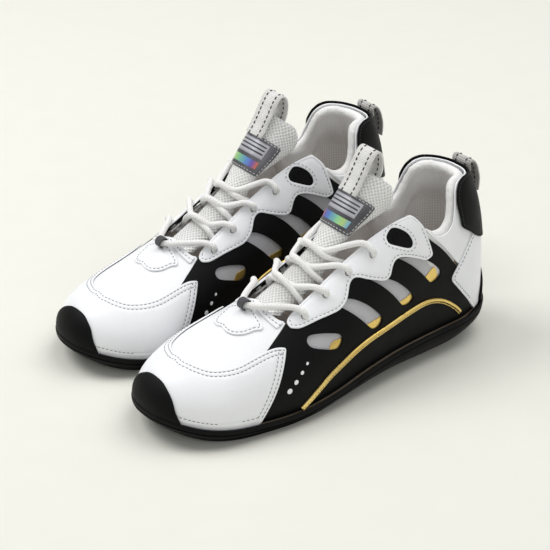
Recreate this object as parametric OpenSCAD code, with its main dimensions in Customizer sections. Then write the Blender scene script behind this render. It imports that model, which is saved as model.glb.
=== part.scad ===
/* [Size] */
// Length of each shoe's last line, toe to heel
shoe_length = 262; // [242:5:282]
// Distance between the two shoes' centre lines
pair_spacing = 107.4; // [104:0.2:150]
// How far the right shoe stands behind the left one
right_setback = 5.9; // [0:0.1:20]

/* [Sole] */
// Thickness of the rubber under the foot
rubber_t = 3.2; // [2.6:0.1:3.6]
// Radius of the grooves across the tread
groove_r = 1.2; // [0.8:0.1:1.6]
// Height the footbed stands above the board
footbed_t = 4; // [3:0.5:6]

/* [Upper] */
// Thickness of each outer skin and overlay
skin_t = 0.9; // [0.7:0.1:1]
// Thickness of the textile lining
lining_t = 1.0; // [0.8:0.1:1.4]
// Thickest part of the collar foam
collar_foam = 6; // [4:0.5:7]
// Half width of the gold piping
piping_w = 1.7; // [1.2:0.1:2]

/* [Laces and loops] */
// Diameter of the round lace
lace_d = 4.2; // [3.6:0.2:4.4]
// Width of the webbing loops
webbing_w = 17; // [14:0.5:18]
// Thickness of the webbing
webbing_t = 1.5; // [1.2:0.1:1.6]

/* [Hidden] */
k = shoe_length / 262;
layer = skin_t + 0.25;
over_t = layer + skin_t;
white = [0.93, 0.93, 0.92];
black = [0.06, 0.06, 0.065];
rubber = [0.09, 0.09, 0.09];
gold = [0.86, 0.70, 0.36];
grey = [0.72, 0.73, 0.75];
cream = [0.88, 0.80, 0.74];

// half widths, ridge height, feather height, ridge offset and section
// exponent, one value every 30 mm from the toe
out_w = [36, 40, 44, 46.5, 45, 41, 37, 35, 34, 33];
in_w = [33, 37, 42, 42, 38, 34, 32, 32, 32, 31];
ridge_z = [42, 46, 52, 62, 77, 94, 112, 128, 134, 136];
edge_z = [20, 12.5, 9.5, 9, 12, 17, 20, 21, 22, 24];
ridge_x = [-4, -4, -4, -3, -2, -1, 0, 0, 0, 0];
sect_n = [2.3, 2.3, 2.2, 2.1, 2.1, 2.2, 2.35, 2.5, 2.6, 2.7];
// sole: underside height and how far the tread stands in from the side
tread_z = [7, 1.5, 0, 0, 0, 0, 0, 0, 1.5, 8];
tread_in = [5, 2.5, 0.5, 0.5, 3, 9, 10, 8, 8, 8];

// ---- the shape of the last ----

// smooth reading of a table with one value every 30 mm
function tb(t, u) =
  let(x = min(max(u, 0), 270) / 30, i = min(floor(x), 8), f = x - i,
      a = t[i], b = t[i + 1],
      ma = i == 0 ? b - a : (b - t[i - 1]) / 2,
      mb = i == 8 ? b - a : (t[i + 2] - a) / 2)
  (2 * f ^ 3 - 3 * f ^ 2 + 1) * a + (f ^ 3 - 2 * f ^ 2 + f) * ma
  + (3 * f ^ 2 - 2 * f ^ 3) * b + (f ^ 3 - f ^ 2) * mb;

// how far the toe is set back from station 0, and the middle of the last
toe_back = 8;
middle_y = (toe_back + 270) / 2;

// plan rounding of the toe and of the heel
function ends(u) =
  let(a = max(0, (58 - u) / 58), b = max(0, (u - 228) / 42))
  (max(0, 1 - a ^ 2.2)) ^ (1 / 2.2) * (max(0, 1 - b ^ 2.4)) ^ (1 / 2.4);

// where a section that starts at station u meets the ridge
function ridge_y(u) = u < 120 ? u + 42 * (1 - u / 120) ^ 2 :
  u > 180 ? u - 42 * ((u - 180) / 90) ^ 1.5 : u;

// point of the last at station u; f is 1 on the outer edge line, 0 on the
// ridge and -1 on the inner edge line
function last(u, f) =
  let(t = (1 - abs(f)) * 90, n = tb(sect_n, u),
      c = cos(t) ^ (2 / n), s = sin(t) ^ (2 / n),
      dome = 4 * lookup(u, [[30, 0], [60, 0.9], [80, 1], [100, 0.9], [125, 0]])
        * (max(0, 1 - abs(f) / 0.3)) ^ 1.6,
      w = (f >= 0 ? tb(out_w, u) : tb(in_w, u)) * ends(u),
      yt = ridge_y(u), y = yt + (u - yt) * c, xr = tb(ridge_x, y),
      blunt = toe_back * (max(0, 60 - y) / 60) ^ 2)
  k * [xr + (f >= 0 ? 1 : -1) * w * c * (1 + 0.05 * sin(2 * t))
         + (tb(ridge_x, u) - xr) * c,
       y + blunt,
       tb(edge_z, u) + (tb(ridge_z, y) - tb(edge_z, u)) * s + dome];

function unit(v) = v / norm(v);

function outward(u, f) =
  let(v = min(max(u, 0.3), 269.7),
      du = last(min(v + 0.5, 269.9), f) - last(max(v - 0.5, 0.1), f),
      df = last(v, min(f + 0.004, 1)) - last(v, max(f - 0.004, -1)))
  unit(cross(df, du));

// point of the last moved outwards by o
function skin(u, f, o) = last(u, f) + o * outward(u, f);

// how far up the sides the upper reaches: throat, then ankle line
rim_table = [
  [0, 0.27], [110, 0.27], [130, 0.262], [150, 0.262], [165, 0.275],
  [180, 0.31], [190, 0.34], [198, 0.38], [204, 0.475], [209, 0.565],
  [214, 0.61], [220, 0.632], [226, 0.63], [231, 0.60], [236, 0.52], [241, 0.43],
  [247, 0.385], [254, 0.375], [262, 0.395], [270, 0.42]];
function rim(u) = lookup(u, rim_table);

// ---- helpers for grids of points ----

function cr1(l, i, t) =
  let(n = len(l), a = l[max(i - 1, 0)], b = l[i], c = l[i + 1],
      d = l[min(i + 2, n - 1)])
  b + (c - a) * t / 2 + (a - 2.5 * b + 2 * c - d / 2) * t ^ 2
  + (-a / 2 + 1.5 * b - 1.5 * c + d / 2) * t ^ 3;
function smooth(l, s) =
  [for (i = [0:len(l) - 2]) for (j = [0:s - 1]) cr1(l, i, j / s), l[len(l) - 1]];

// list carried round the toe or heel to the other side
function wrap(l) =
  concat(l, [for (i = [len(l) - 2:-1:0]) [l[i][0], -l[i][1]]]);
function other(l) = [for (p = l) [p[0], -p[1]]];

// rows between a lower and an upper line of [u, f] points
function ruled(lo, up, n) =
  [for (i = [0:n]) [for (j = [0:len(lo) - 1]) lo[j] + (up[j] - lo[j]) * i / n]];

function lifted(q, o) = [for (r = q) [for (p = r) skin(p[0], p[1], o)]];

// solid from points and triangles, turned so that its faces look outwards
module solid(pts, tris) {
  size = [for (t = tris) 1] * [for (t = tris) cross(pts[t[0]], pts[t[1]]) * pts[t[2]]];
  polyhedron(pts, size < 0 ? tris : [for (t = tris) [t[2], t[1], t[0]]], convexity = 8);
}

// closed sheet between two grids of points of the same size
module sheet(a, b) {
  m = len(a) - 1;
  n = len(a[0]) - 1;
  w = n + 1;
  s = (m + 1) * w;
  pts = concat([for (r = a) for (p = r) p], [for (r = b) for (p = r) p]);
  quads = concat(
    [for (i = [0:m - 1]) for (j = [0:n - 1])
      [i * w + j, (i + 1) * w + j, (i + 1) * w + j + 1, i * w + j + 1]],
    [for (i = [0:m - 1]) for (j = [0:n - 1])
      [s + i * w + j, s + i * w + j + 1, s + (i + 1) * w + j + 1, s + (i + 1) * w + j]],
    [for (j = [0:n - 1]) [j, j + 1, s + j + 1, s + j]],
    [for (j = [0:n - 1]) [m * w + j + 1, m * w + j, s + m * w + j, s + m * w + j + 1]],
    [for (i = [0:m - 1]) [(i + 1) * w, i * w, s + i * w, s + (i + 1) * w]],
    [for (i = [0:m - 1])
      [i * w + n, (i + 1) * w + n, s + (i + 1) * w + n, s + i * w + n]]);
  tris = [for (q = quads) each [[q[0], q[1], q[2]], [q[0], q[2], q[3]]]];
  solid(pts, tris);
}

// skin piece between offsets o1 and o2
module piece(q, o1, o2) {
  sheet(lifted(q, o2), lifted(q, o1));
}

// bowl through closed loops, each one outer side then inner side of the
// same stations; its two ends are bridged from side to side
module bowl(r) {
  m = len(r);
  n = len(r[0]);
  h = n / 2;
  pts = [for (a = r) for (p = a) p];
  side = [for (i = [0:m - 2]) for (j = [0:n - 1]) let(j2 = (j + 1) % n)
    each [[i * n + j, i * n + j2, (i + 1) * n + j2],
          [i * n + j, (i + 1) * n + j2, (i + 1) * n + j]]];
  low = [for (i = [0:h - 1]) let(a = i, b = i + 1, c = n - i - 1, d = (n - i) % n)
    each concat(i < h - 1 ? [[a, c, b]] : [], i > 0 ? [[a, d, c]] : [])];
  q = (m - 1) * n;
  top = [for (t = low) [t[2] + q, t[1] + q, t[0] + q]];
  solid(pts, concat(side, low, top));
}

// solid through rings of points, flat at both ends
module rings(r) {
  m = len(r);
  n = len(r[0]);
  pts = [for (a = r) for (p = a) p];
  side = [for (i = [0:m - 2]) for (j = [0:n - 1]) let(j2 = (j + 1) % n)
    each [[i * n + j, i * n + j2, (i + 1) * n + j2],
          [i * n + j, (i + 1) * n + j2, (i + 1) * n + j]]];
  caps = concat([for (j = [1:n - 2]) [0, j + 1, j]],
    [for (j = [1:n - 2]) [(m - 1) * n, (m - 1) * n + j, (m - 1) * n + j + 1]]);
  solid(pts, concat(side, caps));
}

function perp(t) = unit(cross(t, abs(t[2]) < 0.9 ? [0, 0, 1] : [1, 0, 0]));

// round cord along a line of points
module cord(path, d, sides) {
  n = len(path);
  tan = [for (i = [0:n - 1])
    unit(path[min(i + 1, n - 1)] - path[max(i - 1, 0)])];
  side = [for (i = 0, v = perp(tan[0]); i < n;
           i = i + 1, v = i < n ? unit(v - (v * tan[i]) * tan[i]) : v) v];
  rings([for (i = [0:n - 1]) let(x = side[i], y = cross(tan[i], x))
    [for (j = [0:sides - 1]) let(a = -360 * j / sides)
      path[i] + d / 2 * (cos(a) * x + sin(a) * y)]]);
}

// flat band of webbing along a line in the Y-Z plane, centred on x = x0
module band(path, x0, w, t) {
  n = len(path);
  tan = [for (i = [0:n - 1])
    unit(path[min(i + 1, n - 1)] - path[max(i - 1, 0)])];
  rings([for (i = [0:n - 1]) let(c = path[i], v = [-tan[i][1], tan[i][0]] * t / 2)
    [[x0 - w / 2, c[0] - v[0], c[1] - v[1]], [x0 - w / 2, c[0] + v[0], c[1] + v[1]],
     [x0 + w / 2, c[0] + v[0], c[1] + v[1]], [x0 + w / 2, c[0] - v[0], c[1] - v[1]]]]);
}

// ---- sole ----

sole_u = [0, 1.5, 6, 14, 25, 40, 60, 85, 110, 130, 150, 170, 190, 215,
          240, 254, 263, 268.5, 270];

// outer edge line at station u on side s, moved out in plan by o
function plan(u, s, o, z) =
  let(p = last(u, s),
      d = last(min(u + 0.5, 269.9), s) - last(max(u - 0.5, 0.1), s),
      n = unit([s * d[1], -s * d[0]]))
  [p[0] + o * n[0], p[1] + o * n[1], z];

function loop_at(o, zf) =
  let(m = len(sole_u))
  concat([for (i = [0:m - 1]) plan(sole_u[i], 1, o(sole_u[i]), zf(sole_u[i]))],
         [for (i = [m - 2:-1:1]) plan(sole_u[i], -1, o(sole_u[i]), zf(sole_u[i]))]);

function top_z(u) = k * tb(edge_z, u);
function low_z(u) = k * max(0, tb(tread_z, u));
function inset(u) = k * tb(tread_in, u);

module outsole() {
  difference() {
    union() {
      bowl([
        loop_at(function(u) -inset(u), function(u) low_z(u)),
        loop_at(function(u) -0.4 * inset(u), function(u) low_z(u) * 0.8 + top_z(u) * 0.2),
        loop_at(function(u) 3.4, function(u) low_z(u) * 0.4 + top_z(u) * 0.6),
        loop_at(function(u) 4.8, function(u) top_z(u) - 2.5),
        loop_at(function(u) 4.8, function(u) top_z(u) + 1.2),
        loop_at(function(u) 3.4, function(u) top_z(u) + 1.2),
        loop_at(function(u) 1.2, function(u) top_z(u) - 2.3),
        loop_at(function(u) -inset(u) - 2.6, function(u) low_z(u) + rubber_t)]);
      // bumper over the toe
      piece(ruled([[12, 1], [8, 1], [4, 1], [1, 1], [0, 1], [1, -1], [4, -1], [8, -1], [11, -1]],
                  [[9, 0.86], [6.5, 0.70], [3.5, 0.585], [1, 0.51], [0, 0.49], [1, -0.51],
                   [3.2, -0.58], [5.8, -0.68], [8, -0.84]], 4), over_t + 0.9, over_t + 2.2);
      // lip at the back of the heel
      piece(ruled([[258, 1], [265, 1], [268, 1], [270, 1], [268, -1], [265, -1], [258, -1]],
                  [[258, 0.985], [265, 0.955], [268, 0.935], [270, 0.925],
                   [268, -0.935], [265, -0.955], [258, -0.985]], 2),
            over_t + 0.3, over_t + 1.9);
    }
    for (y = [50:20:110])
      hull() {
        translate([-60, k * y, 0]) rotate([0, 90, 0]) cylinder(r = groove_r, h = 1, $fn = 6);
        translate([60, k * (y + 5), 0]) rotate([0, 90, 0]) cylinder(r = groove_r, h = 1, $fn = 6);
      }
    for (y = [194:18:230])
      hull() {
        translate([-60, k * y, 0]) rotate([0, 90, 0]) cylinder(r = groove_r, h = 1, $fn = 6);
        translate([60, k * y, 0]) rotate([0, 90, 0]) cylinder(r = groove_r, h = 1, $fn = 6);
      }
  }
}

module midsole() {
  bowl([loop_at(function(u) -inset(u) - 3.7, function(u) low_z(u) + rubber_t + 0.3),
        loop_at(function(u) 0.5, function(u) top_z(u) - 2.5)]);
}

module insole_board() {
  bowl([loop_at(function(u) 0.8, function(u) top_z(u) - 2.2),
        loop_at(function(u) 0.8, function(u) top_z(u) - 0.3)]);
}

module footbed() {
  bowl([loop_at(function(u) -4.6, function(u) top_z(u) + 0.2),
        loop_at(function(u) -4.6, function(u) top_z(u) + footbed_t - 0.6),
        loop_at(function(u) -5.8, function(u) top_z(u) + footbed_t)]);
}

// ---- inside of the upper ----

// thickness of the collar foam at station u and height f
function foam(u, f) =
  let(d = (abs(f) - rim(u)) / 0.3, a = min(1, max(0, (u - 196) / 20)))
  d >= 1 ? 0.3 : 0.3 + (collar_foam - 0.3) * a * sin(180 * min(1, max(0.28, d))) ^ 0.8;

// stations shared by the layers round the ankle, so that they lie parallel
ankle_u = [194, 199, 204, 210, 216, 222, 228, 235, 242, 249, 256, 263, 267.5, 270];
function ankle_from(u0) = [for (u = ankle_u) if (u >= u0) u];

// the lining stops a little short of the throat edge
function sock(u) = rim(u) + lookup(u, [[190, 0.03], [204, 0]]);

module lining() {
  lo = wrap([for (u = concat([104, 118, 133, 149, 165, 181], ankle_u)) [u, 1]]);
  q = [for (i = [0:4]) [for (p = lo) [p[0], sign(p[1]) * (1 - (1 - sock(p[0])) * i / 4)]]];
  difference() {
    sheet([for (r = q) [for (p = r) skin(p[0], p[1], -1.9 - foam(p[0], p[1]))]],
          [for (r = q) [for (p = r) skin(p[0], p[1], -1.9 - lining_t - foam(p[0], p[1]))]]);
    lace_holes(1);
    lace_holes(-1);
  }
}

module collar_foam() {
  lo = wrap([for (u = ankle_u) [u, 1]]);
  q = [for (i = [0:3]) [for (p = lo) [p[0], sign(p[1]) * (rim(p[0]) + 0.28 * (1 - i / 3))]]];
  sheet([for (r = q) [for (p = r) skin(p[0], p[1], -1.5)]],
        [for (r = q) [for (p = r) skin(p[0], p[1], -1.6 - foam(p[0], p[1]))]]);
}

module heel_counter() {
  lo = wrap([for (u = ankle_from(214)) [u, 0.975]]);
  up = wrap([for (u = ankle_from(214)) [u, lookup(u, [[216, 0.93], [228, 0.8], [249, 0.71],
    [270, 0.66]])]]);
  piece(ruled(lo, up, 2), -1, -0.4);
}

// ---- outer skins ----

// how far back the vamp reaches at height f
function vamp_end(f) = lookup(abs(f), [
  [0, 91], [0.14, 91.5], [0.24, 94], [0.30, 98], [0.36, 85], [0.42, 73.5],
  [0.6, 69.5], [0.8, 67], [1, 61.5]]);

module vamp() {
  // the toe row is shared by both sides, so the skin closes round the toe
  fs = [1, 0.84, 0.66, 0.5, 0.42, 0.36, 0.30, 0.2, 0.1, 0];
  n = len(fs) - 1;
  m = 8;
  w = 2 * n + 1;
  row = function(i, o) [for (j = [0:2 * n])
    let(f = j <= n ? fs[j] : -fs[2 * n - j], u = vamp_end(f) * (i / m) ^ 1.8)
    skin(u, f, o)];
  one = function(o) concat([for (j = [0:n]) skin(0, fs[j], o)],
    [for (i = [1:m]) each row(i, o)]);
  s = n + 1 + m * w;
  id = function(i, j) i == 0 ? (j <= n ? j : 2 * n - j) : n + 1 + (i - 1) * w + j;
  quads = concat(
    [for (i = [0:m - 1]) for (j = [0:2 * n - 1])
      [id(i, j), id(i, j + 1), id(i + 1, j + 1), id(i + 1, j)]],
    [for (i = [0:m - 1]) for (j = [0:2 * n - 1])
      [s + id(i, j), s + id(i + 1, j), s + id(i + 1, j + 1), s + id(i, j + 1)]],
    [for (j = [0:2 * n - 1]) [id(m, j), id(m, j + 1), s + id(m, j + 1), s + id(m, j)]],
    [for (i = [0:m - 1]) [id(i, 0), id(i + 1, 0), s + id(i + 1, 0), s + id(i, 0)]],
    [for (i = [0:m - 1])
      [id(i + 1, 2 * n), id(i, 2 * n), s + id(i, 2 * n), s + id(i + 1, 2 * n)]]);
  tris = [for (q = quads) each [[q[0], q[1], q[2]], [q[0], q[2], q[3]]]];
  solid(concat(one(skin_t), one(0)),
    [for (t = tris) if (t[0] != t[1] && t[1] != t[2] && t[0] != t[2]) t]);
}

module toe_cap() {
  lo = wrap([[61.5, 1], [54, 1], [45, 1], [36, 1], [27, 1], [18, 1], [10, 1], [4, 1], [1, 1],
             [0, 1]]);
  up = wrap([[89.5, 0.47], [83, 0.425], [74, 0.405], [63, 0.402], [52, 0.402], [41, 0.38],
             [30, 0.34], [20, 0.27], [9, 0.19], [0, 0.12]]);
  piece(ruled(lo, up, 5), layer + 0.4, over_t + 0.4);
}

// front and back edges of the black side panel, from the sole up
side_front = [[62, 1], [65, 0.9], [67.5, 0.8], [70, 0.6], [74, 0.42], [85.5, 0.36],
              [98.5, 0.305], [104, 0.27]];
side_back = [[254, 1], [241, 0.9], [230.5, 0.81], [224.3, 0.75], [218.3, 0.693], [210.3, 0.62],
             [204, 0.54], [200.3, 0.43]];

// opening cut square through a skin along a loop of [u, f] corners
module opening(l, s) {
  n = len(l);
  for (i = [1:n - 2]) {
    t = [l[0], l[i], l[i + 1]];
    hull()
      polyhedron([for (o = [-4, 5]) for (p = t) skin(p[0], s * p[1], o)],
        [[0, 1, 2], [3, 5, 4], [0, 3, 1], [3, 4, 1], [1, 4, 2], [4, 5, 2], [2, 5, 0], [5, 3, 0]]);
  }
}

holes = [[110, 0.36], [128, 0.35], [146.5, 0.35], [165, 0.385]];

// holes for the lace, square to the surface
module lace_holes(s) {
  for (h = holes)
    hull()
      for (o = [-5, 5])
        translate(skin(h[0], s * h[1], o)) sphere(r = lace_d / 2 + 0.6, $fn = 6);
}

module side_slots(s) {
  opening([[104, 0.53], [108, 0.507], [124, 0.62], [129, 0.68], [127, 0.725], [121, 0.715],
           [107, 0.60]], s);
  opening([[133, 0.50], [141, 0.508], [161, 0.755], [163, 0.805], [158, 0.82], [151, 0.765]], s);
  opening([[158, 0.515], [172.5, 0.623], [190, 0.80], [190, 0.835], [184, 0.83], [179, 0.79]], s);
  opening([[181, 0.55], [202, 0.68], [215.5, 0.785], [215, 0.815], [210, 0.822], [205, 0.797]], s);
}

module side_panel(s) {
  n = 7;
  cols = 11;
  q = [for (i = [0:n]) [for (j = [0:cols]) let(t = j / cols, a = side_front[i],
    b = side_back[i], u = a[0] + (b[0] - a[0]) * t,
    top_u = 104 + (201 - 104) * t, g = 1 - (1 - rim(top_u)) * (
      (1 - a[1]) / (1 - 0.27) * (1 - t) + (1 - b[1]) / (1 - 0.43) * t))
    [u, s * g]]];
  difference() {
    piece(q, 0, skin_t);
    side_slots(s);
    lace_holes(s);
  }
}

module backing(s) {
  lo = [[99, 0.70], [120, 0.78], [142, 0.84], [165, 0.88], [190, 0.90], [218, 0.89]];
  up = [[99, 0.47], [120, 0.48], [142, 0.47], [165, 0.51], [190, 0.55], [213, 0.64]];
  q = ruled(smooth(lo, 2), smooth(up, 2), 3);
  piece(s > 0 ? q : [for (r = q) other(r)], -1.4, -0.95);
}

module foil(s) {
  lo = [[115, 0.745], [128, 0.79], [142, 0.825], [165, 0.855], [190, 0.865], [216, 0.845]];
  up = [[121, 0.66], [132, 0.70], [146, 0.745], [166, 0.785], [192, 0.80], [212, 0.755]];
  q = ruled(smooth(lo, 2), smooth(up, 2), 1);
  piece(s > 0 ? q : [for (r = q) other(r)], -0.75, -0.4);
}

piping_line = smooth([[92.5, 0.985], [98, 0.95], [106, 0.905], [117, 0.86], [133, 0.838],
  [150, 0.842], [170, 0.863], [188, 0.874], [203, 0.886], [216, 0.915], [228, 0.958],
  [234.5, 0.985]], 2);

module piping(s) {
  n = len(piping_line);
  pts = [for (p = piping_line) skin(p[0], s * p[1], 0)];
  rings([for (i = [0:n - 1])
    let(p = piping_line[i], c = skin(p[0], s * p[1], layer), o = outward(p[0], s * p[1]),
        t = unit(pts[min(i + 1, n - 1)] - pts[max(i - 1, 0)]),
        x = unit(cross(t, o)) * piping_w * s)
    [c - x, c - x * 0.9 + o * 0.9, c + o * 1.5, c + x * 0.9 + o * 0.9, c + x]]);
}

module eyestay(s) {
  lo = [[98, 0.362], [103, 0.41], [110, 0.437], [117, 0.46], [125, 0.49], [132, 0.512],
        [138, 0.50], [141.5, 0.46], [144.5, 0.42], [149, 0.42], [156, 0.495], [162, 0.552],
        [168, 0.598], [172.5, 0.602], [175.5, 0.56], [179.5, 0.543], [186, 0.575],
        [195, 0.637], [203, 0.688], [209.5, 0.69]];
  up = [[97.5, 0.31], [101, 0.283], [108, 0.27], [115, 0.268], [123, 0.265], [131, 0.263],
        [137, 0.262], [142, 0.262], [146, 0.262], [150, 0.264], [155, 0.267], [160, 0.272],
        [165, 0.277], [170, 0.286], [174, 0.296], [179, 0.308], [185, 0.325], [192, 0.35],
        [199, 0.39], [205, 0.50]];
  q = ruled(lo, up, 2);
  difference() {
    piece(s > 0 ? q : [for (r = q) other(r)], layer, over_t);
    lace_holes(s);
    opening([[176.5, 0.372], [178.5, 0.352], [183.5, 0.352], [191.5, 0.455], [194.5, 0.545],
             [190, 0.548], [178, 0.433]], s);
  }
}

module ankle_panel() {
  us = concat([207], ankle_from(210));
  up = wrap([for (u = us) [u, rim(u) + 0.003]]);
  lo = wrap([for (u = us) [u, lookup(u, [[207, 0.545], [211, 0.60], [219, 0.68], [231, 0.795],
    [242, 0.86], [270, 0.89]])]]);
  piece(ruled(lo, up, 4), 0, skin_t);
}

module heel_panel() {
  us = concat([225.5], ankle_from(228));
  up = wrap([for (u = us) [u, lookup(u, [[225.5, 0.848], [232, 0.808], [240, 0.758],
    [249, 0.711], [259, 0.68], [270, 0.66]])]]);
  lo = wrap([for (u = us) [u, lookup(u, [[225.5, 0.86], [232, 0.905], [240, 0.953],
    [250, 0.998], [270, 0.998]])]]);
  piece(ruled(lo, up, 4), layer, over_t);
}

module heel_strip() {
  us = concat([237], ankle_from(242));
  up = wrap([for (u = us) [u, rim(u) + 0.003]]);
  lo = wrap([for (u = us) [u, lookup(u, [[237, 0.642], [243, 0.68], [257, 0.765],
    [270, 0.83]])]]);
  piece(ruled(lo, up, 4), 2 * layer, 2 * layer + skin_t);
}

// ---- tongue ----

// stations from the sewn end up: centre y and z, half width, depth of the
// arch and section exponent
tongue_t = [
  [84, 57.2, 10, 3, 2], [92, 62, 12.6, 5, 2], [104, 68, 14, 9, 2],
  [118, 75.8, 14, 10, 2], [131, 85.3, 13, 10.5, 2], [140, 93, 12.1, 11, 2.1],
  [149.6, 103.8, 13.2, 11, 2.7], [159.6, 117.6, 16, 21, 2.6], [168, 127.6, 17, 29, 2.6],
  [174, 134, 18.6, 37, 2.5], [177, 137.6, 19.4, 41, 2.4]];

function tongue_at(v) = let(i = min(max(floor(v), 0), 9)) cr1(tongue_t, i, v - i);

// point at station v and angle a across the arch, lifted by o
function tongue_pt(v, a, o) =
  let(g = tongue_at(v), dt = tongue_at(min(v + 0.2, 10)) - tongue_at(max(v - 0.2, 0)),
      t = unit([dt[0], dt[1]]), d = [t[1], -t[0]], e = 2 / g[4],
      p = (k * g[3] + o) * (1 - cos(a) ^ e) - o)
  [k * tb(ridge_x, g[0]) + sign(a) * (k * g[2] + o) * sin(abs(a)) ^ e,
   k * g[0] + d[0] * p, k * g[1] + d[1] * p];

module tongue() {
  vs = [0, 0.5, 1, 2, 3, 4, 5, 6, 7, 8, 9, 10];
  as = [-1, -0.75, -0.5, -0.25, 0, 0.25, 0.5, 0.75, 1];
  span = function(v) lookup(v, [[8, 86], [9, 70], [10, 48]]);
  deep = function(v) lookup(v, [[0, 1.2], [1, 1.6], [2.5, 4.6], [9, 5.2], [10, 3.6]]);
  sheet([for (v = vs) [for (a = as) tongue_pt(v, a * span(v), 0)]],
        [for (v = vs) [for (a = as) tongue_pt(v, a * span(v), -deep(v))]]);
}

module tongue_label() {
  vs = [6, 6.4, 6.8, 7.2, 7.65];
  as = [-1, -0.71, -0.43, -0.14, 0.14, 0.43, 0.71, 1];
  wide = function(v) lookup(v, [[6, 74], [7.65, 66]]);
  sheet([for (v = vs) [for (a = as) tongue_pt(v, wide(v) * a, 1.4)]],
        [for (v = vs) [for (a = as) tongue_pt(v, wide(v) * a, 0.2)]]);
}

tongue_loop_line = smooth([
  [163.3, 125.2], [166.8, 129.6], [170.4, 135.4], [174, 141.8], [177.4, 147.4],
  [180.4, 150], [183.4, 149.6], [185.2, 146.4], [185.6, 141.6], [185, 136.6],
  [182.8, 132], [179.6, 127.4]], 2);

module tongue_loop() {
  band(k * tongue_loop_line, 0, webbing_w, webbing_t);
}

// ---- lace and its small parts ----

function under(n, s) = skin(holes[n][0], s * holes[n][1], -3 - lace_d / 2 - 0.5);
function over(n, s) = skin(holes[n][0], s * holes[n][1], 2.1 + lace_d / 2 + 0.6);
function brow(n, s) = skin(holes[n][0] - 4, s * 0.262, 2.1 + lace_d / 2 + 0.5);
function brim(n, s) = skin(holes[n][0] + 4, s * (s > 0 ? 0.315 : 0.335), -3.1 - lace_d / 2 - 0.4);
cross_v = [2.72, 3.75, 4.85];
function middle(n, s) =
  tongue_pt(cross_v[n], 0.01, lace_d / 2 + 0.9 + (s > 0 ? 0 : lace_d + 0.2));
function slope(n, s) = tongue_pt(cross_v[n] - 0.1, s * 48, lace_d / 2 + (s > 0 ? 1.5 : 2.4));
function rise(n, s) = tongue_pt(cross_v[n] + 0.12, s * 36, lace_d / 2 + (s > 0 ? 1.7 : 2.5));

// from over hole n+1 on side s down to below hole n on the other side
function crossing(n, s) =
  [under(n + 1, s), over(n + 1, s), brow(n + 1, s), rise(n, s), middle(n, s), slope(n, -s),
   brim(n, -s)];
function reversed(l) = [for (i = [len(l) - 1:-1:0]) l[i]];

keep_c = skin(80, 0, 2.1 + lace_d / 2 + 0.9);

function lace_half(s) =
  concat([skin(170, s * 0.36, -8)], crossing(2, s), crossing(1, -s), crossing(0, s),
         [under(0, -s), over(0, -s), brow(0, -s)]);

lace_pts = concat(lace_half(1), [keep_c], reversed(lace_half(-1)));

// the long spans of the lace get one more point each, on the curve
lace_line = concat([for (i = [0:len(lace_pts) - 2])
  each norm(lace_pts[i + 1] - lace_pts[i]) > 12 ? [lace_pts[i], cr1(lace_pts, i, 0.5)] :
    [lace_pts[i]]], [lace_pts[len(lace_pts) - 1]]);

module lace() {
  cord(lace_line, lace_d, 8);
}

module lace_keeper() {
  n = outward(80, 0);
  f = unit([0, n[2], -n[1]]);
  r = lace_d / 2 + 1.3;
  band([for (a = [-140:28:140]) [keep_c[1] + r * (cos(a) * n[1] + sin(a) * f[1]),
    keep_c[2] + r * (cos(a) * n[2] + sin(a) * f[2])]], keep_c[0], 6, 1);
}

module throat_patch() {
  lo = [[76, 0.20], [66, 0.17], [57, 0.10], [53, 0.001], [57, -0.10], [66, -0.17],
        [76, -0.20]];
  up = [[83, 0.20], [83, 0.14], [83, 0.07], [83, 0.001], [83, -0.07], [83, -0.14],
        [83, -0.20]];
  piece(ruled(lo, up, 4), layer, over_t);
}

module throat_trim() {
  lo = [[90, 0.30], [88, 0.22], [86, 0.11], [85.5, 0.001], [86, -0.11], [88, -0.22],
        [90, -0.30]];
  up = [[96, 0.29], [93, 0.21], [91, 0.10], [90.5, 0.001], [91, -0.10], [93, -0.21],
        [96, -0.29]];
  piece(ruled(lo, up, 1), layer, over_t);
}

heel_loop_line = smooth([
  [271.6, 98], [272.2, 104], [271.4, 110], [269.4, 116], [266.4, 120.4], [263.4, 121],
  [262.4, 118.4], [263.4, 115]], 2);

module heel_loop() {
  band(k * heel_loop_line, 0, webbing_w, webbing_t);
}

// ---- the pair ----

module left() {
  translate([pair_spacing / 2, -k * middle_y - right_setback / 2, 0]) children();
}

module right() {
  translate([-pair_spacing / 2, -k * middle_y + right_setback / 2, 0])
    mirror([1, 0, 0]) children();
}

module left_outsole() {
  color(rubber) left() outsole();
}

module left_midsole() {
  color([0.8, 0.8, 0.8]) left() midsole();
}

module left_insole_board() {
  color([0.75, 0.68, 0.58]) left() insole_board();
}

module left_footbed() {
  color(cream) left() footbed();
}

module left_heel_counter() {
  color([0.7, 0.68, 0.62]) left() heel_counter();
}

module left_lining() {
  color(white) left() lining();
}

module left_collar_foam() {
  color(white) left() collar_foam();
}

module left_vamp() {
  color(white) left() vamp();
}

module left_toe_cap() {
  color(white) left() toe_cap();
}

module left_lateral_panel() {
  color(black) left() side_panel(1);
}

module left_medial_panel() {
  color(black) left() side_panel(-1);
}

module left_lateral_backing() {
  color(grey) left() backing(1);
}

module left_medial_backing() {
  color(grey) left() backing(-1);
}

module left_lateral_foil() {
  color(gold) left() foil(1);
}

module left_medial_foil() {
  color(gold) left() foil(-1);
}

module left_lateral_piping() {
  color(gold) left() piping(1);
}

module left_medial_piping() {
  color(gold) left() piping(-1);
}

module left_lateral_eyestay() {
  color(white) left() eyestay(1);
}

module left_medial_eyestay() {
  color(white) left() eyestay(-1);
}

module left_ankle_panel() {
  color(white) left() ankle_panel();
}

module left_heel_panel() {
  color(white) left() heel_panel();
}

module left_heel_strip() {
  color(black) left() heel_strip();
}

module left_heel_loop() {
  color(grey) left() heel_loop();
}

module left_tongue() {
  color(white) left() tongue();
}

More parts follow.
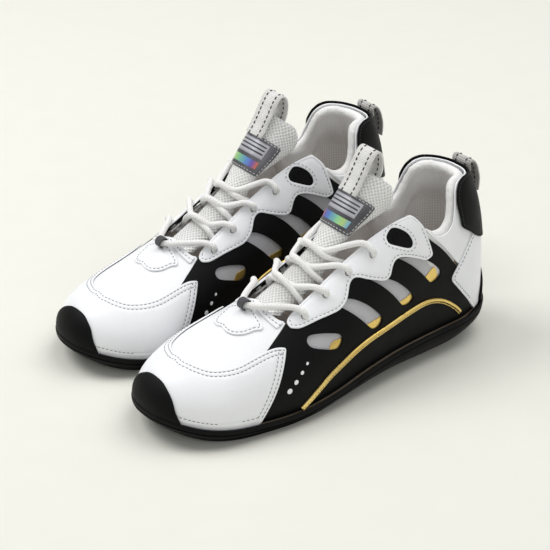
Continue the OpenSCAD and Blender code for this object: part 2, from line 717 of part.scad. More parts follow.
module left_tongue_label() {
  color([0.35, 0.35, 0.38]) left() tongue_label();
}

module left_tongue_loop() {
  color(white) left() tongue_loop();
}

module left_lace() {
  color(white) left() lace();
}

module left_lace_keeper() {
  color([0.25, 0.25, 0.27]) left() lace_keeper();
}

module left_throat_patch() {
  color(white) left() throat_patch();
}

module left_throat_trim() {
  color(white) left() throat_trim();
}

module right_outsole() {
  color(rubber) right() outsole();
}

module right_midsole() {
  color([0.8, 0.8, 0.8]) right() midsole();
}

module right_insole_board() {
  color([0.75, 0.68, 0.58]) right() insole_board();
}

module right_footbed() {
  color(cream) right() footbed();
}

module right_heel_counter() {
  color([0.7, 0.68, 0.62]) right() heel_counter();
}

module right_lining() {
  color(white) right() lining();
}

module right_collar_foam() {
  color(white) right() collar_foam();
}

module right_vamp() {
  color(white) right() vamp();
}

module right_toe_cap() {
  color(white) right() toe_cap();
}

module right_lateral_panel() {
  color(black) right() side_panel(1);
}

module right_medial_panel() {
  color(black) right() side_panel(-1);
}

module right_lateral_backing() {
  color(grey) right() backing(1);
}

module right_medial_backing() {
  color(grey) right() backing(-1);
}

module right_lateral_foil() {
  color(gold) right() foil(1);
}

module right_medial_foil() {
  color(gold) right() foil(-1);
}

module right_lateral_piping() {
  color(gold) right() piping(1);
}

module right_medial_piping() {
  color(gold) right() piping(-1);
}

module right_lateral_eyestay() {
  color(white) right() eyestay(1);
}

module right_medial_eyestay() {
  color(white) right() eyestay(-1);
}

module right_ankle_panel() {
  color(white) right() ankle_panel();
}

module right_heel_panel() {
  color(white) right() heel_panel();
}

module right_heel_strip() {
  color(black) right() heel_strip();
}

module right_heel_loop() {
  color(grey) right() heel_loop();
}

module right_tongue() {
  color(white) right() tongue();
}

module right_tongue_label() {
  color([0.35, 0.35, 0.38]) right() tongue_label();
}

module right_tongue_loop() {
  color(white) right() tongue_loop();
}

module right_lace() {
  color(white) right() lace();
}

module right_lace_keeper() {
  color([0.25, 0.25, 0.27]) right() lace_keeper();
}

module right_throat_patch() {
  color(white) right() throat_patch();
}

module right_throat_trim() {
  color(white) right() throat_trim();
}

left_outsole();
left_midsole();
left_insole_board();
left_footbed();
left_heel_counter();
left_lining();
left_collar_foam();
left_vamp();
left_toe_cap();
left_lateral_panel();
left_medial_panel();
left_lateral_backing();
left_medial_backing();
left_lateral_foil();
left_medial_foil();
left_lateral_piping();
left_medial_piping();
left_lateral_eyestay();
left_medial_eyestay();
left_ankle_panel();
left_heel_panel();
left_heel_strip();
left_heel_loop();
left_tongue();
left_tongue_label();
left_tongue_loop();
left_lace();
left_lace_keeper();
left_throat_patch();
left_throat_trim();
right_outsole();
right_midsole();
right_insole_board();
right_footbed();
right_heel_counter();
right_lining();
right_collar_foam();
right_vamp();
right_toe_cap();
right_lateral_panel();
right_medial_panel();
right_lateral_backing();
right_medial_backing();
right_lateral_foil();
right_medial_foil();
right_lateral_piping();
right_medial_piping();
right_lateral_eyestay();
right_medial_eyestay();
right_ankle_panel();
right_heel_panel();
right_heel_strip();
right_heel_loop();
right_tongue();
right_tongue_label();
right_tongue_loop();
right_lace();
right_lace_keeper();
right_throat_patch();
right_throat_trim();
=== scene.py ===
import bpy
import bmesh
import math
import numpy as np
from mathutils import Matrix, Vector, geometry
from mathutils.bvhtree import BVHTree
from mathutils.interpolate import poly_3d_calc


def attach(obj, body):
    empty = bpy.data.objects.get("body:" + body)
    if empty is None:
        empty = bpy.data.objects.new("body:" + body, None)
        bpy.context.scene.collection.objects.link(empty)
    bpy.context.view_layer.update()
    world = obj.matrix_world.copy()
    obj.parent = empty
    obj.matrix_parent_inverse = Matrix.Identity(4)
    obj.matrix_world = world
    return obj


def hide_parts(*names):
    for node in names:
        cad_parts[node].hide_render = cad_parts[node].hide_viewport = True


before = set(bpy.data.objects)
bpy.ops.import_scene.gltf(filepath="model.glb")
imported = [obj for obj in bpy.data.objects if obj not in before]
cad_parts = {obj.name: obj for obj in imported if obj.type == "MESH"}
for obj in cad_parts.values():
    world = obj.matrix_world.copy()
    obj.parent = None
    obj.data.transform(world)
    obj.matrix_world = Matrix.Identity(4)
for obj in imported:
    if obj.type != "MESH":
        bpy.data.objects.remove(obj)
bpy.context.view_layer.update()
print("frame loaded:", len(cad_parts), "nodes")

pairLayout = {"middle": 139, "spacing": 107.4, "setback": 5.9}  # mm, as in the frame
sides = {"left": 1, "right": -1}


def addObject(name, data):
    obj = bpy.data.objects.new(name, data)
    bpy.context.scene.collection.objects.link(obj)
    return obj


# camera

cameraSetup = {"azimuth": 52.9, "elevation": 29.0, "distance": 1.26, "lens": 122.27,
               "target": (0, -0.00695, 0.045), "shift": (0.0242, 0.0118)}


def makeCamera(c):
    a, e = math.radians(c["azimuth"]), math.radians(c["elevation"])
    back = Vector((math.sin(a) * math.cos(e), -math.cos(a) * math.cos(e), math.sin(e)))
    right = Vector((math.cos(a), math.sin(a), 0))
    data = bpy.data.cameras.new("shoeCamera")
    data.sensor_width = 36
    data.lens = c["lens"]
    data.shift_x, data.shift_y = c["shift"]
    data.clip_start, data.clip_end = 0.05, 30
    cam = addObject("shoeCamera", data)
    place = Matrix((right, back.cross(right), back)).transposed().to_4x4()
    place.translation = Vector(c["target"]) + back * c["distance"]
    cam.matrix_world = place
    bpy.context.scene.camera = cam


makeCamera(cameraSetup)

# the last, in millimetres, in one shoe's own frame

lastShape = {  # one value every 30 mm from toe to heel
    "outerWidth": [36, 40, 44, 46.5, 45, 41, 37, 35, 34, 33],
    "innerWidth": [33, 37, 42, 42, 38, 34, 32, 32, 32, 31],
    "ridgeHeight": [42, 46, 52, 62, 77, 94, 112, 128, 134, 136],
    "edgeHeight": [20, 12.5, 9.5, 9, 12, 17, 20, 21, 22, 24],
    "ridgeOffset": [-4, -4, -4, -3, -2, -1, 0, 0, 0, 0],
    "roundness": [2.3, 2.3, 2.2, 2.1, 2.1, 2.2, 2.35, 2.5, 2.6, 2.7],
    "treadHeight": [7, 1.5, 0, 0, 0, 0, 0, 0, 1.5, 8],
    "treadInset": [5, 2.5, 0.5, 0.5, 3, 9, 10, 8, 8, 8],
    "toeRound": 58, "heelRound": 42, "toeBack": 8,
    "dome": [[30, 60, 80, 100, 125], [0, 0.9, 1, 0.9, 0]],
    "rim": [[0, 110, 130, 150, 165, 180, 190, 198, 204, 209, 214, 220, 226, 231, 236, 241, 247,
             254, 262, 270],
            [0.27, 0.27, 0.262, 0.262, 0.275, 0.31, 0.34, 0.38, 0.475, 0.565, 0.61, 0.632, 0.63,
             0.60, 0.52, 0.43, 0.385, 0.375, 0.395, 0.42]]}


def fromTable(name, u):
    t = np.array(lastShape[name], float)
    x = np.clip(u, 0, 270) / 30
    i = np.minimum(np.floor(x).astype(int), 8)
    f = x - i
    a, b = t[i], t[i + 1]
    ma = np.where(i == 0, b - a, (b - t[np.maximum(i - 1, 0)]) / 2)
    mb = np.where(i == 8, b - a, (t[np.minimum(i + 2, 9)] - a) / 2)
    return ((2 * f**3 - 3 * f**2 + 1) * a + (f**3 - 2 * f**2 + f) * ma
            + (3 * f**2 - 2 * f**3) * b + (f**3 - f**2) * mb)


def unit(v):
    return v / (np.linalg.norm(v, axis=-1, keepdims=True) + 1e-12)


def lastPoint(u, f):  # f is 1 on the outer edge line, 0 on the ridge, -1 on the inner edge line
    u, f = np.broadcast_arrays(np.asarray(u, float), np.asarray(f, float))
    t = (1 - np.abs(f)) * np.pi / 2
    n = fromTable("roundness", u)
    c = np.clip(np.cos(t), 0, 1) ** (2 / n)
    s = np.clip(np.sin(t), 0, 1) ** (2 / n)
    toe = np.maximum(0, (lastShape["toeRound"] - u) / lastShape["toeRound"])
    heel = np.maximum(0, (u - 270 + lastShape["heelRound"]) / lastShape["heelRound"])
    ends = np.maximum(0, 1 - toe ** 2.2) ** (1 / 2.2) * np.maximum(0, 1 - heel ** 2.4) ** (1 / 2.4)
    w = np.where(f >= 0, fromTable("outerWidth", u), fromTable("innerWidth", u)) * ends
    top = np.where(u < 120, u + 42 * (1 - np.minimum(u, 120) / 120) ** 2,
                   np.where(u > 180, u - 42 * (np.maximum(u - 180, 0) / 90) ** 1.5, u))
    y = top + (u - top) * c
    ridge = fromTable("ridgeOffset", y)
    dome = 4 * np.interp(u, *lastShape["dome"]) * np.maximum(0, 1 - np.abs(f) / 0.3) ** 1.6
    edge = fromTable("edgeHeight", u)
    x = (ridge + np.where(f >= 0, 1, -1) * w * c * (1 + 0.05 * np.sin(2 * t))
         + (fromTable("ridgeOffset", u) - ridge) * c)
    blunt = lastShape["toeBack"] * (np.maximum(0, 60 - y) / 60) ** 2
    return np.stack([x, y + blunt, edge + (fromTable("ridgeHeight", y) - edge) * s + dome], -1)


def outward(u, f):
    v = np.clip(u, 0.3, 269.7)
    du = lastPoint(np.minimum(v + 0.5, 269.9), f) - lastPoint(np.maximum(v - 0.5, 0.1), f)
    df = lastPoint(v, np.minimum(f + 0.004, 1)) - lastPoint(v, np.maximum(f - 0.004, -1))
    return unit(np.cross(df, du))


def skinPoint(u, f, lift):
    return lastPoint(u, f) + outward(u, f) * np.asarray(lift, float)[..., None]


def rimAt(u):
    return np.interp(u, *lastShape["rim"])


# lines, loops and grids


def between(a, b, c, d, t):  # on the smooth curve from b to c that a and d steer
    return (b + (c - a) * t / 2 + (a - 2.5 * b + 2 * c - d / 2) * t**2
            + (-a / 2 + 1.5 * b - 1.5 * c + d / 2) * t**3)


def smoothLine(points, steps):
    p = np.asarray(points, float)
    out = []
    for i in range(len(p) - 1):
        steer = p[max(i - 1, 0)], p[i], p[i + 1], p[min(i + 2, len(p) - 1)]
        out += [between(*steer, j / steps) for j in range(steps)]
    return np.array(out + [p[-1]])


def lengthsAlong(line):  # distance from the start to every point
    return np.concatenate([[0], np.cumsum(np.linalg.norm(np.diff(line, axis=0), axis=1))])


def resample(line, spacing, closed=False):
    p = np.vstack([line, line[:1]]) if closed else np.asarray(line, float)
    s = lengthsAlong(p)
    n = max(2, int(round(s[-1] / spacing)))
    at = np.linspace(0, s[-1], n + 1)
    out = np.stack([np.interp(at, s, p[:, i]) for i in range(p.shape[1])], -1)
    return out[:-1] if closed else out


across = 90.0  # mm that one unit of f is worth in a flat pattern
stationTable = np.concatenate([np.linspace(0, 1, 60) ** 2 * 6, np.linspace(6.2, 263.8, 400),
                               270 - np.linspace(1, 0, 60) ** 2 * 6])
edgeArc = lengthsAlong(lastPoint(stationTable, np.ones(len(stationTable))))


def toFlat(line, where):  # [u, f] points to a flat pattern in mm, unrolled round the toe or heel
    p = np.asarray(line, float)
    u, f = p[:, 0], p[:, 1]
    if where == "top":
        return np.stack([u, f * across], -1)
    x = u
    if where in ("toe", "heel"):
        arc = np.interp(u, stationTable, edgeArc)
        x = np.where(f >= 0, 1, -1) * (arc if where == "toe" else edgeArc[-1] - arc)
    return np.stack([x, np.abs(f) * across], -1)


def toLast(p, where, side):  # flat pattern point back to [u, f]
    v = np.clip(p[:, 1] / across, -1, 1)
    if where == "side":
        return np.clip(p[:, 0], 0, 270), side * v
    if where == "top":
        return p[:, 0], v
    arc = np.abs(p[:, 0]) if where == "toe" else edgeArc[-1] - np.abs(p[:, 0])
    return np.interp(arc, edgeArc, stationTable), np.where(p[:, 0] >= 0, 1, -1) * v


def flatLoop(parts, where="side", spacing=1.2, soften=2):  # closed outline from [u, f] lines
    p = np.vstack([smoothLine(toFlat(x, where), 8) for x in parts])
    p = p[np.concatenate([[True], np.linalg.norm(np.diff(p, axis=0), axis=1) > 1e-6])]
    p = resample(p, spacing, closed=True)
    for _ in range(soften):
        p = (np.roll(p, 1, 0) + 2 * p + np.roll(p, -1, 0)) / 4
    area = np.sum(p[:, 0] * np.roll(p[:, 1], -1) - np.roll(p[:, 0], -1) * p[:, 1])
    return p if area > 0 else p[::-1]


def flatCircle(u, f, radius, n=20):
    a = np.arange(n) * 2 * np.pi / n
    return np.array([u, f * across]) + radius * np.stack([np.cos(a), np.sin(a)], -1)


def wrapped(line):  # carried round the toe or heel to the other side
    return line + [[u, -f] for u, f in line[-2::-1]]


def flatToSkin(p, where, side, lift):
    u, f = toLast(p, where, side)
    return skinPoint(u, f, np.broadcast_to(lift, u.shape))


def insetLoop(loop, distance, where, side):  # moved towards its left by mm on the skin
    p = flatToSkin(loop, where, side, 0)
    u, f = toLast(loop, where, side)
    t = np.roll(p, -1, 0) - np.roll(p, 1, 0)
    d = unit(np.cross(outward(u, f), t))
    jx = (flatToSkin(loop + [0.05, 0], where, side, 0) - flatToSkin(loop - [0.05, 0], where, side, 0)) * 10
    jy = (flatToSkin(loop + [0, 0.05], where, side, 0) - flatToSkin(loop - [0, 0.05], where, side, 0)) * 10
    a, b, c = (jx * jx).sum(1), (jx * jy).sum(1), (jy * jy).sum(1)
    rx, ry = (d * jx).sum(1), (d * jy).sum(1)
    det = np.maximum(a * c - b * b, 1e-3)
    move = np.stack([(c * rx - b * ry) / det, (a * ry - b * rx) / det], -1)
    flat = np.roll(loop, -1, 0) - np.roll(loop, 1, 0)
    sign = np.sign((move * np.stack([-flat[:, 1], flat[:, 0]], -1)).sum(1))[:, None]
    move = move * sign
    size = np.linalg.norm(move, axis=1, keepdims=True)
    return loop + move * np.minimum(1, 1.8 / (size + 1e-9)) * distance


def inLoop(points, loop):
    x, y = points[:, 0][:, None], points[:, 1][:, None]
    a, b = loop, np.roll(loop, -1, 0)
    rise = np.where(np.abs(b[:, 1] - a[:, 1]) < 1e-9, 1e-9, b[:, 1] - a[:, 1])
    hit = ((a[:, 1] > y) != (b[:, 1] > y)) & (x < (b[:, 0] - a[:, 0]) * (y - a[:, 1]) / rise + a[:, 0])
    return hit.sum(1) % 2 == 1


def cutPiece(outline, where, side=1, inner=0.0, outer=0.9, holes=(), edge=0.4, seams=(),
             spacing=2.6, puff=0.0):
    # a sewn piece with turned edges: flat outline, holes, and grooves pressed in by its seams
    rings = [(0, edge), (0.3 * edge, 0.4 * edge), (edge, 0.07 * edge), (2.2 * edge, 0)]
    for s in seams:
        rings += [(s - 0.7, 0), (s, 0.28), (s + 0.7, 0)]
    loops = [outline] + [h[::-1] for h in holes]
    points, drops, edges = [], [], []
    for n, loop in enumerate(loops):
        for d, drop in (rings if n == 0 else rings[:4]):
            ring = insetLoop(loop, d, where, side) if d > 0 else loop
            start = len(points)
            points += ring.tolist()
            drops += [drop] * len(ring)
            if d in (0, edge) or d in seams:
                edges += [(start + i, start + (i + 1) % len(ring)) for i in range(len(ring))]
    fixed = np.array(points)
    lo, hi = outline.min(0), outline.max(0)
    gx, gy = np.meshgrid(np.arange(lo[0], hi[0], spacing), np.arange(lo[1], hi[1], spacing))
    grid = np.stack([gx.ravel() + 0.37 * spacing * (np.arange(gx.size) // gx.shape[1] % 2), gy.ravel()], -1)
    grid = grid[inLoop(grid, outline)]
    if len(grid):
        near = np.min(np.linalg.norm(grid[:, None] - fixed[None, ::2], axis=2), axis=1)
        grid = grid[near > 0.6 * spacing]
    pts = np.vstack([fixed, grid]) if len(grid) else fixed
    drops = np.concatenate([drops, np.zeros(len(grid))])
    res = geometry.delaunay_2d_cdt([Vector(p) for p in pts.tolist()], edges, [], 0, 1e-5)
    flat = np.array([list(v) for v in res[0]])
    drop = np.array([drops[o[0]] if o else 0.0 for o in res[3]])
    tris = np.array([list(t) for t in res[2]])
    mid = flat[tris].mean(1)
    keep = inLoop(mid, outline)
    for h in holes:
        keep &= ~inLoop(mid, h)
    tris = tris[keep]
    if puff:
        away = np.min(np.linalg.norm(flat[:, None] - outline[None, ::2], axis=2), axis=1)
        drop = drop - puff * (1 - np.exp(-away / 6))
    u, f = toLast(flat, where, side)
    top = skinPoint(u, f, outer - drop)
    low = skinPoint(u, f, np.full(len(u), float(inner)))
    turn = np.cross(top[tris[:, 1]] - top[tris[:, 0]], top[tris[:, 2]] - top[tris[:, 0]])
    if (turn * outward(u, f)[tris[:, 0]]).sum() < 0:
        tris = tris[:, ::-1]
    n = len(flat)
    pairs = {}
    for a, b, c in tris.tolist():
        for e in ((a, b), (b, c), (c, a)):
            pairs[e] = True
    walls = [(b, a, a + n, b + n) for a, b in pairs if (b, a) not in pairs]
    faces = tris.tolist() + (tris[:, ::-1] + n).tolist() + walls
    used = np.unique(np.concatenate([np.ravel(x) for x in (tris, tris + n)]))
    index = np.full(2 * n, -1)
    index[used] = np.arange(len(used))
    return {"points": np.vstack([top, low])[used], "faces": [[int(index[i]) for i in x] for x in faces],
            "uv": (np.vstack([flat, flat]) / 1000)[used]}


def seamRuns(loop, distance, where, side, lift, keep=None):
    # stitching lines that follow an outline, as polylines in mm
    p = insetLoop(loop, distance, where, side) if distance else loop
    ok = np.ones(len(p), bool) if keep is None else keep(p[:, 0], p[:, 1] / across)
    if ok.all():
        p3 = flatToSkin(p, where, side, lift)
        return [np.vstack([p3, p3[:1]])]
    start = int(np.argmin(ok))
    order = [(start + i) % len(p) for i in range(len(p))]
    runs, run = [], []
    for i in order + [start]:
        if ok[i]:
            run.append(i)
        elif run:
            if len(run) > 2:
                runs.append(flatToSkin(p[run], where, side, lift))
            run = []
    return runs


def openRun(line, where, side, lift):
    return flatToSkin(resample(smoothLine(toFlat(line, where), 8), 1.0), where, side, lift)


def gridFaces(rows, cols, closed=False):
    faces = []
    for i in range(rows - 1):
        for j in range(cols if closed else cols - 1):
            k = (j + 1) % cols
            faces.append([i * cols + j, i * cols + k, (i + 1) * cols + k, (i + 1) * cols + j])
    return faces


def shellOf(outer, inner, uv=None):  # closed sheet between two grids of points
    m, n = outer.shape[:2]
    a = gridFaces(m, n)
    s = m * n
    faces = a + [[s + x for x in f[::-1]] for f in a]
    faces += [[j + 1, j, s + j, s + j + 1] for j in range(n - 1)]
    faces += [[(m - 1) * n + j, (m - 1) * n + j + 1, s + (m - 1) * n + j + 1, s + (m - 1) * n + j]
              for j in range(n - 1)]
    faces += [[i * n, (i + 1) * n, s + (i + 1) * n, s + i * n] for i in range(m - 1)]
    faces += [[(i + 1) * n + n - 1, i * n + n - 1, s + i * n + n - 1, s + (i + 1) * n + n - 1]
              for i in range(m - 1)]
    shape = {"points": np.vstack([outer.reshape(-1, 3), inner.reshape(-1, 3)]), "faces": faces}
    if uv is not None:
        shape["uv"] = np.vstack([uv.reshape(-1, 2)] * 2)
    return shape


def tubeOf(rings, caps=True, uv=None):  # closed rings of points, flat at both ends
    m, n = rings.shape[:2]
    faces = gridFaces(m, n, closed=True)
    if caps:
        faces += [list(range(n))[::-1], list(range((m - 1) * n, m * n))]
    shape = {"points": rings.reshape(-1, 3), "faces": faces}
    if uv is not None:
        shape["uv"] = uv.reshape(-1, 2)
    return shape


def facingOut(shape):  # turns a closed shape's faces outwards
    p, total = shape["points"], 0.0
    for f in shape["faces"]:
        for i in range(1, len(f) - 1):
            total += np.dot(p[f[0]], np.cross(p[f[i]], p[f[i + 1]]))
    if total < 0:
        shape["faces"] = [f[::-1] for f in shape["faces"]]
    return shape


def joined(*shapes):
    points, faces, uv, start = [], [], [], 0
    for s in shapes:
        points.append(s["points"])
        uv.append(s.get("uv", np.zeros((len(s["points"]), 2))))
        faces += [[i + start for i in f] for f in s["faces"]]
        start += len(s["points"])
    return {"points": np.vstack(points), "faces": faces, "uv": np.vstack(uv)}


# objects


def toWorld(p, side):
    half = pairLayout["spacing"] / 2
    back = -pairLayout["middle"] - side * pairLayout["setback"] / 2
    q = np.asarray(p, float) * [side, 1, 1] + [side * half, back, 0]
    return q / 1000


def setUv(mesh, uv):
    layer = mesh.uv_layers.get("pattern") or mesh.uv_layers.new(name="pattern")
    corner = np.zeros(len(mesh.loops), np.int32)
    mesh.loops.foreach_get("vertex_index", corner)
    layer.data.foreach_set("uv", np.asarray(uv, np.float32)[corner].ravel())


def readPoints(mesh, what="co"):
    values = np.zeros(len(mesh.vertices) * 3, np.float32)
    mesh.vertices.foreach_get(what, values)
    return values.reshape(-1, 3).astype(float)


def writePoints(mesh, points):
    mesh.vertices.foreach_set("co", points.astype(np.float32).ravel())


def makeObject(name, shape, side, material, sharp=40):
    mesh = bpy.data.meshes.new(name)
    faces = shape["faces"] if side > 0 else [f[::-1] for f in shape["faces"]]
    mesh.from_pydata(toWorld(shape["points"], side).tolist(), [], faces)
    if "uv" in shape:
        setUv(mesh, shape["uv"])
    mesh.validate()
    mesh.shade_smooth()
    mesh.set_sharp_from_angle(angle=math.radians(sharp))
    mesh.materials.append(material)
    return addObject(name, mesh)


def giveBody(obj, word, part, nodes=()):
    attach(obj, word + ("_tongue_body" if part == "tongue" else "_shoe"))
    if nodes:
        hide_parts(*[word + "_" + n for n in nodes])


def makePair(name, shape, material, nodes=(), part="shoe", sharp=40, merge=False):
    for word, side in sides.items():
        obj = makeObject(word + name, shape, side, material, sharp)
        if merge:
            bm = bmesh.new()
            bm.from_mesh(obj.data)
            bmesh.ops.remove_doubles(bm, verts=bm.verts, dist=1e-6)
            bm.to_mesh(obj.data)
            bm.free()
        giveBody(obj, word, part, nodes)


# materials


def addNode(tree, kind, **settings):
    node = tree.nodes.new(kind)
    for key, value in settings.items():
        setattr(node, key, value)
    return node


def feed(tree, socket, value):
    if isinstance(value, bpy.types.NodeSocket):
        tree.links.new(value, socket)
    else:
        socket.default_value = value


def setInputs(node, values):
    for key, value in values.items():
        node.inputs[key].default_value = value


def giveOut(tree, out, **values):
    for key, value in values.items():
        tree.links.new(value, out.inputs[key])
    return tree


def wire(tree, *links):  # each link is a node and its output, then a node and its input
    for start, leaves, end, enters in links:
        tree.links.new(start.outputs[leaves], end.inputs[enters])


def noiseAt(tree, place, scale, detail):
    node = addNode(tree, "ShaderNodeTexNoise")
    tree.links.new(place, node.inputs["Vector"])
    feed(tree, node.inputs["Scale"], scale)
    node.inputs["Detail"].default_value = detail
    return node.outputs[0]


def sums(tree, operation, a, b=0.0):
    node = addNode(tree, "ShaderNodeMath", operation=operation)
    feed(tree, node.inputs[0], a)
    feed(tree, node.inputs[1], b)
    return node.outputs[0]


def mixColour(tree, factor, a, b):
    node = addNode(tree, "ShaderNodeMix", data_type="RGBA")
    for i, value in ((0, factor), (6, a), (7, b)):
        feed(tree, node.inputs[i], value + (1,) if isinstance(value, tuple) else value)
    return node.outputs[2]


def ramp(tree, value, lo, hi, a=0.0, b=1.0):
    node = addNode(tree, "ShaderNodeMapRange")
    node.clamp = True
    for i, x in enumerate((value, lo, hi, a, b)):
        feed(tree, node.inputs[i], x)
    return node.outputs[0]


def newGroup(name, inputs, outputs):
    tree = bpy.data.node_groups.new(name, "ShaderNodeTree")
    for n, v in inputs.items():
        s = tree.interface.new_socket(name=n, in_out="INPUT", socket_type="NodeSocketFloat")
        s.default_value = v
    for n in outputs:
        tree.interface.new_socket(name=n, in_out="OUTPUT", socket_type="NodeSocketFloat")
    return tree, addNode(tree, "NodeGroupInput"), addNode(tree, "NodeGroupOutput")


def grainGroup():  # pores and creases of a coated skin, on object coordinates
    tree, inp, out = newGroup("skinGrain", {"Scale": 900.0, "Crease": 0.4}, ("Height", "Tone", "Rub"))
    place = addNode(tree, "ShaderNodeTexCoord").outputs["Object"]
    scale = inp.outputs["Scale"]
    pores = addNode(tree, "ShaderNodeTexVoronoi", feature="F1")
    feed(tree, pores.inputs["Vector"], place)
    feed(tree, pores.inputs["Scale"], scale)
    soft = noiseAt(tree, place, sums(tree, "MULTIPLY", scale, 0.16), 4)
    crease = sums(tree, "MULTIPLY", soft, inp.outputs["Crease"])
    return giveOut(tree, out, Height=sums(tree, "ADD", pores.outputs["Distance"], crease),
                   Tone=ramp(tree, noiseAt(tree, place, 28, 3), 0.3, 0.7),
                   Rub=ramp(tree, noiseAt(tree, place, 85, 5), 0.3, 0.75))


def patternUv(tree):
    node = addNode(tree, "ShaderNodeUVMap")
    node.uv_map = "pattern"
    split = addNode(tree, "ShaderNodeSeparateXYZ")
    tree.links.new(node.outputs[0], split.inputs[0])
    return node.outputs[0], split.outputs[0], split.outputs[1]


def meshGroup():  # knitted air mesh: staggered round openings in metres of the pattern
    tree, inp, out = newGroup("airMesh", {"Cell": 0.0021, "Opening": 0.3}, ("Height", "Hole"))
    uv, _, _ = patternUv(tree)
    turn = addNode(tree, "ShaderNodeMapping")
    turn.inputs["Rotation"].default_value = (0, 0, math.radians(45))
    tree.links.new(uv, turn.inputs["Vector"])
    cells = addNode(tree, "ShaderNodeTexVoronoi", feature="F1", voronoi_dimensions="2D")
    cells.inputs["Randomness"].default_value = 0.12
    tree.links.new(turn.outputs[0], cells.inputs["Vector"])
    feed(tree, cells.inputs["Scale"], sums(tree, "DIVIDE", 1.0, inp.outputs["Cell"]))
    shadedHole = ramp(tree, cells.outputs["Distance"], inp.outputs["Opening"],
                sums(tree, "ADD", inp.outputs["Opening"], 0.14), 1.0, 0.0)
    return giveOut(tree, out, Hole=shadedHole, Height=ramp(tree, cells.outputs["Distance"], 0.1, 0.62))


def waveGroup():  # two crossing families of yarn on the pattern's own u and v
    tree, inp, out = newGroup("crossedYarn", {"Along": 900.0, "Across": 900.0, "Slant": 0.0},
                              ("Height", "Family"))
    _, u, v = patternUv(tree)
    along = sums(tree, "MULTIPLY", u, inp.outputs["Along"])
    over = sums(tree, "MULTIPLY", v, inp.outputs["Across"])
    leanAlong, leanOver = [sums(tree, "MULTIPLY", x, inp.outputs["Slant"]) for x in (along, over)]
    a = sums(tree, "ABSOLUTE", sums(tree, "SINE", sums(tree, "ADD", along, leanOver)))
    b = sums(tree, "ABSOLUTE", sums(tree, "SINE", sums(tree, "SUBTRACT", over, leanAlong)))
    return giveOut(tree, out, Height=sums(tree, "MAXIMUM", a, b), Family=sums(tree, "GREATER_THAN", a, b))


def fuzzGroup():  # fine fibres and small shade changes of a textile, on object coordinates
    tree, inp, out = newGroup("fibreFuzz", {"Scale": 1500.0}, ("Height", "Tone"))
    place = addNode(tree, "ShaderNodeTexCoord").outputs["Object"]
    return giveOut(tree, out, Height=noiseAt(tree, place, inp.outputs["Scale"], 3),
                   Tone=ramp(tree, noiseAt(tree, place, 40, 4), 0.3, 0.72))


def boxGroup():  # 1 inside a rectangle of the pattern, 0 outside
    tree, inp, out = newGroup("panelMask", {"Left": 0.0, "Right": 1.0, "Low": 0.0, "High": 1.0}, ("Mask",))
    _, u, v = patternUv(tree)
    pairs = []
    for value, low, high in ((u, "Left", "Right"), (v, "Low", "High")):
        past, short = [sums(tree, operation, value, inp.outputs[name])
                       for operation, name in (("GREATER_THAN", low), ("LESS_THAN", high))]
        pairs.append(sums(tree, "MULTIPLY", past, short))
    return giveOut(tree, out, Mask=sums(tree, "MULTIPLY", *pairs))


groups = {"grain": grainGroup(), "airMesh": meshGroup(), "yarn": waveGroup(), "fuzz": fuzzGroup(),
          "panel": boxGroup()}


def useGroup(tree, name, **values):
    node = addNode(tree, "ShaderNodeGroup")
    node.node_tree = groups[name]
    for k, v in values.items():
        feed(tree, node.inputs[k], v)
    return node


def newMaterial(name):
    m = bpy.data.materials.new(name)
    m.use_nodes = True
    tree = m.node_tree
    shader = next(n for n in tree.nodes if n.type == "BSDF_PRINCIPLED")
    return m, tree, shader


def bump(tree, shader, height, distance, strength):
    node = addNode(tree, "ShaderNodeBump")
    setInputs(node, {"Distance": distance, "Strength": strength})
    feed(tree, node.inputs["Height"], height)
    tree.links.new(node.outputs[0], shader.inputs["Normal"])


def skinMaterial(name, light, dark, rough, coat=0.0, scale=900.0, crease=0.4, depth=0.00006, shine=0.5):
    m, tree, shader = newMaterial(name)
    g = useGroup(tree, "grain", Scale=scale, Crease=crease)
    feed(tree, shader.inputs["Base Color"], mixColour(tree, g.outputs["Tone"], dark, light))
    feed(tree, shader.inputs["Roughness"], ramp(tree, g.outputs["Rub"], 0, 1, rough[0], rough[1]))
    setInputs(shader, {"Coat Weight": coat, "Coat Roughness": 0.3, "Specular IOR Level": shine})
    bump(tree, shader, g.outputs["Height"], depth, 0.8)
    return m


def clothMaterial(name, light, dark, along=2200.0, across=2200.0, slant=0.0, depth=0.00025, fuzz=1500.0,
                  sheen=0.2, rough=0.85):
    m, tree, shader = newMaterial(name)
    y = useGroup(tree, "yarn", Along=along, Across=across, Slant=slant)
    f = useGroup(tree, "fuzz", Scale=fuzz)
    shadow = ramp(tree, y.outputs["Height"], 0.45, 0.95)
    tone = mixColour(tree, f.outputs["Tone"], dark, light)
    deep = tuple(0.82 * c for c in dark)
    feed(tree, shader.inputs["Base Color"], mixColour(tree, shadow, deep, tone))
    setInputs(shader, {"Roughness": rough, "Sheen Weight": sheen})
    high = sums(tree, "ADD", y.outputs["Height"], sums(tree, "MULTIPLY", f.outputs["Height"], 0.5))
    bump(tree, shader, high, depth, 0.9)
    return m


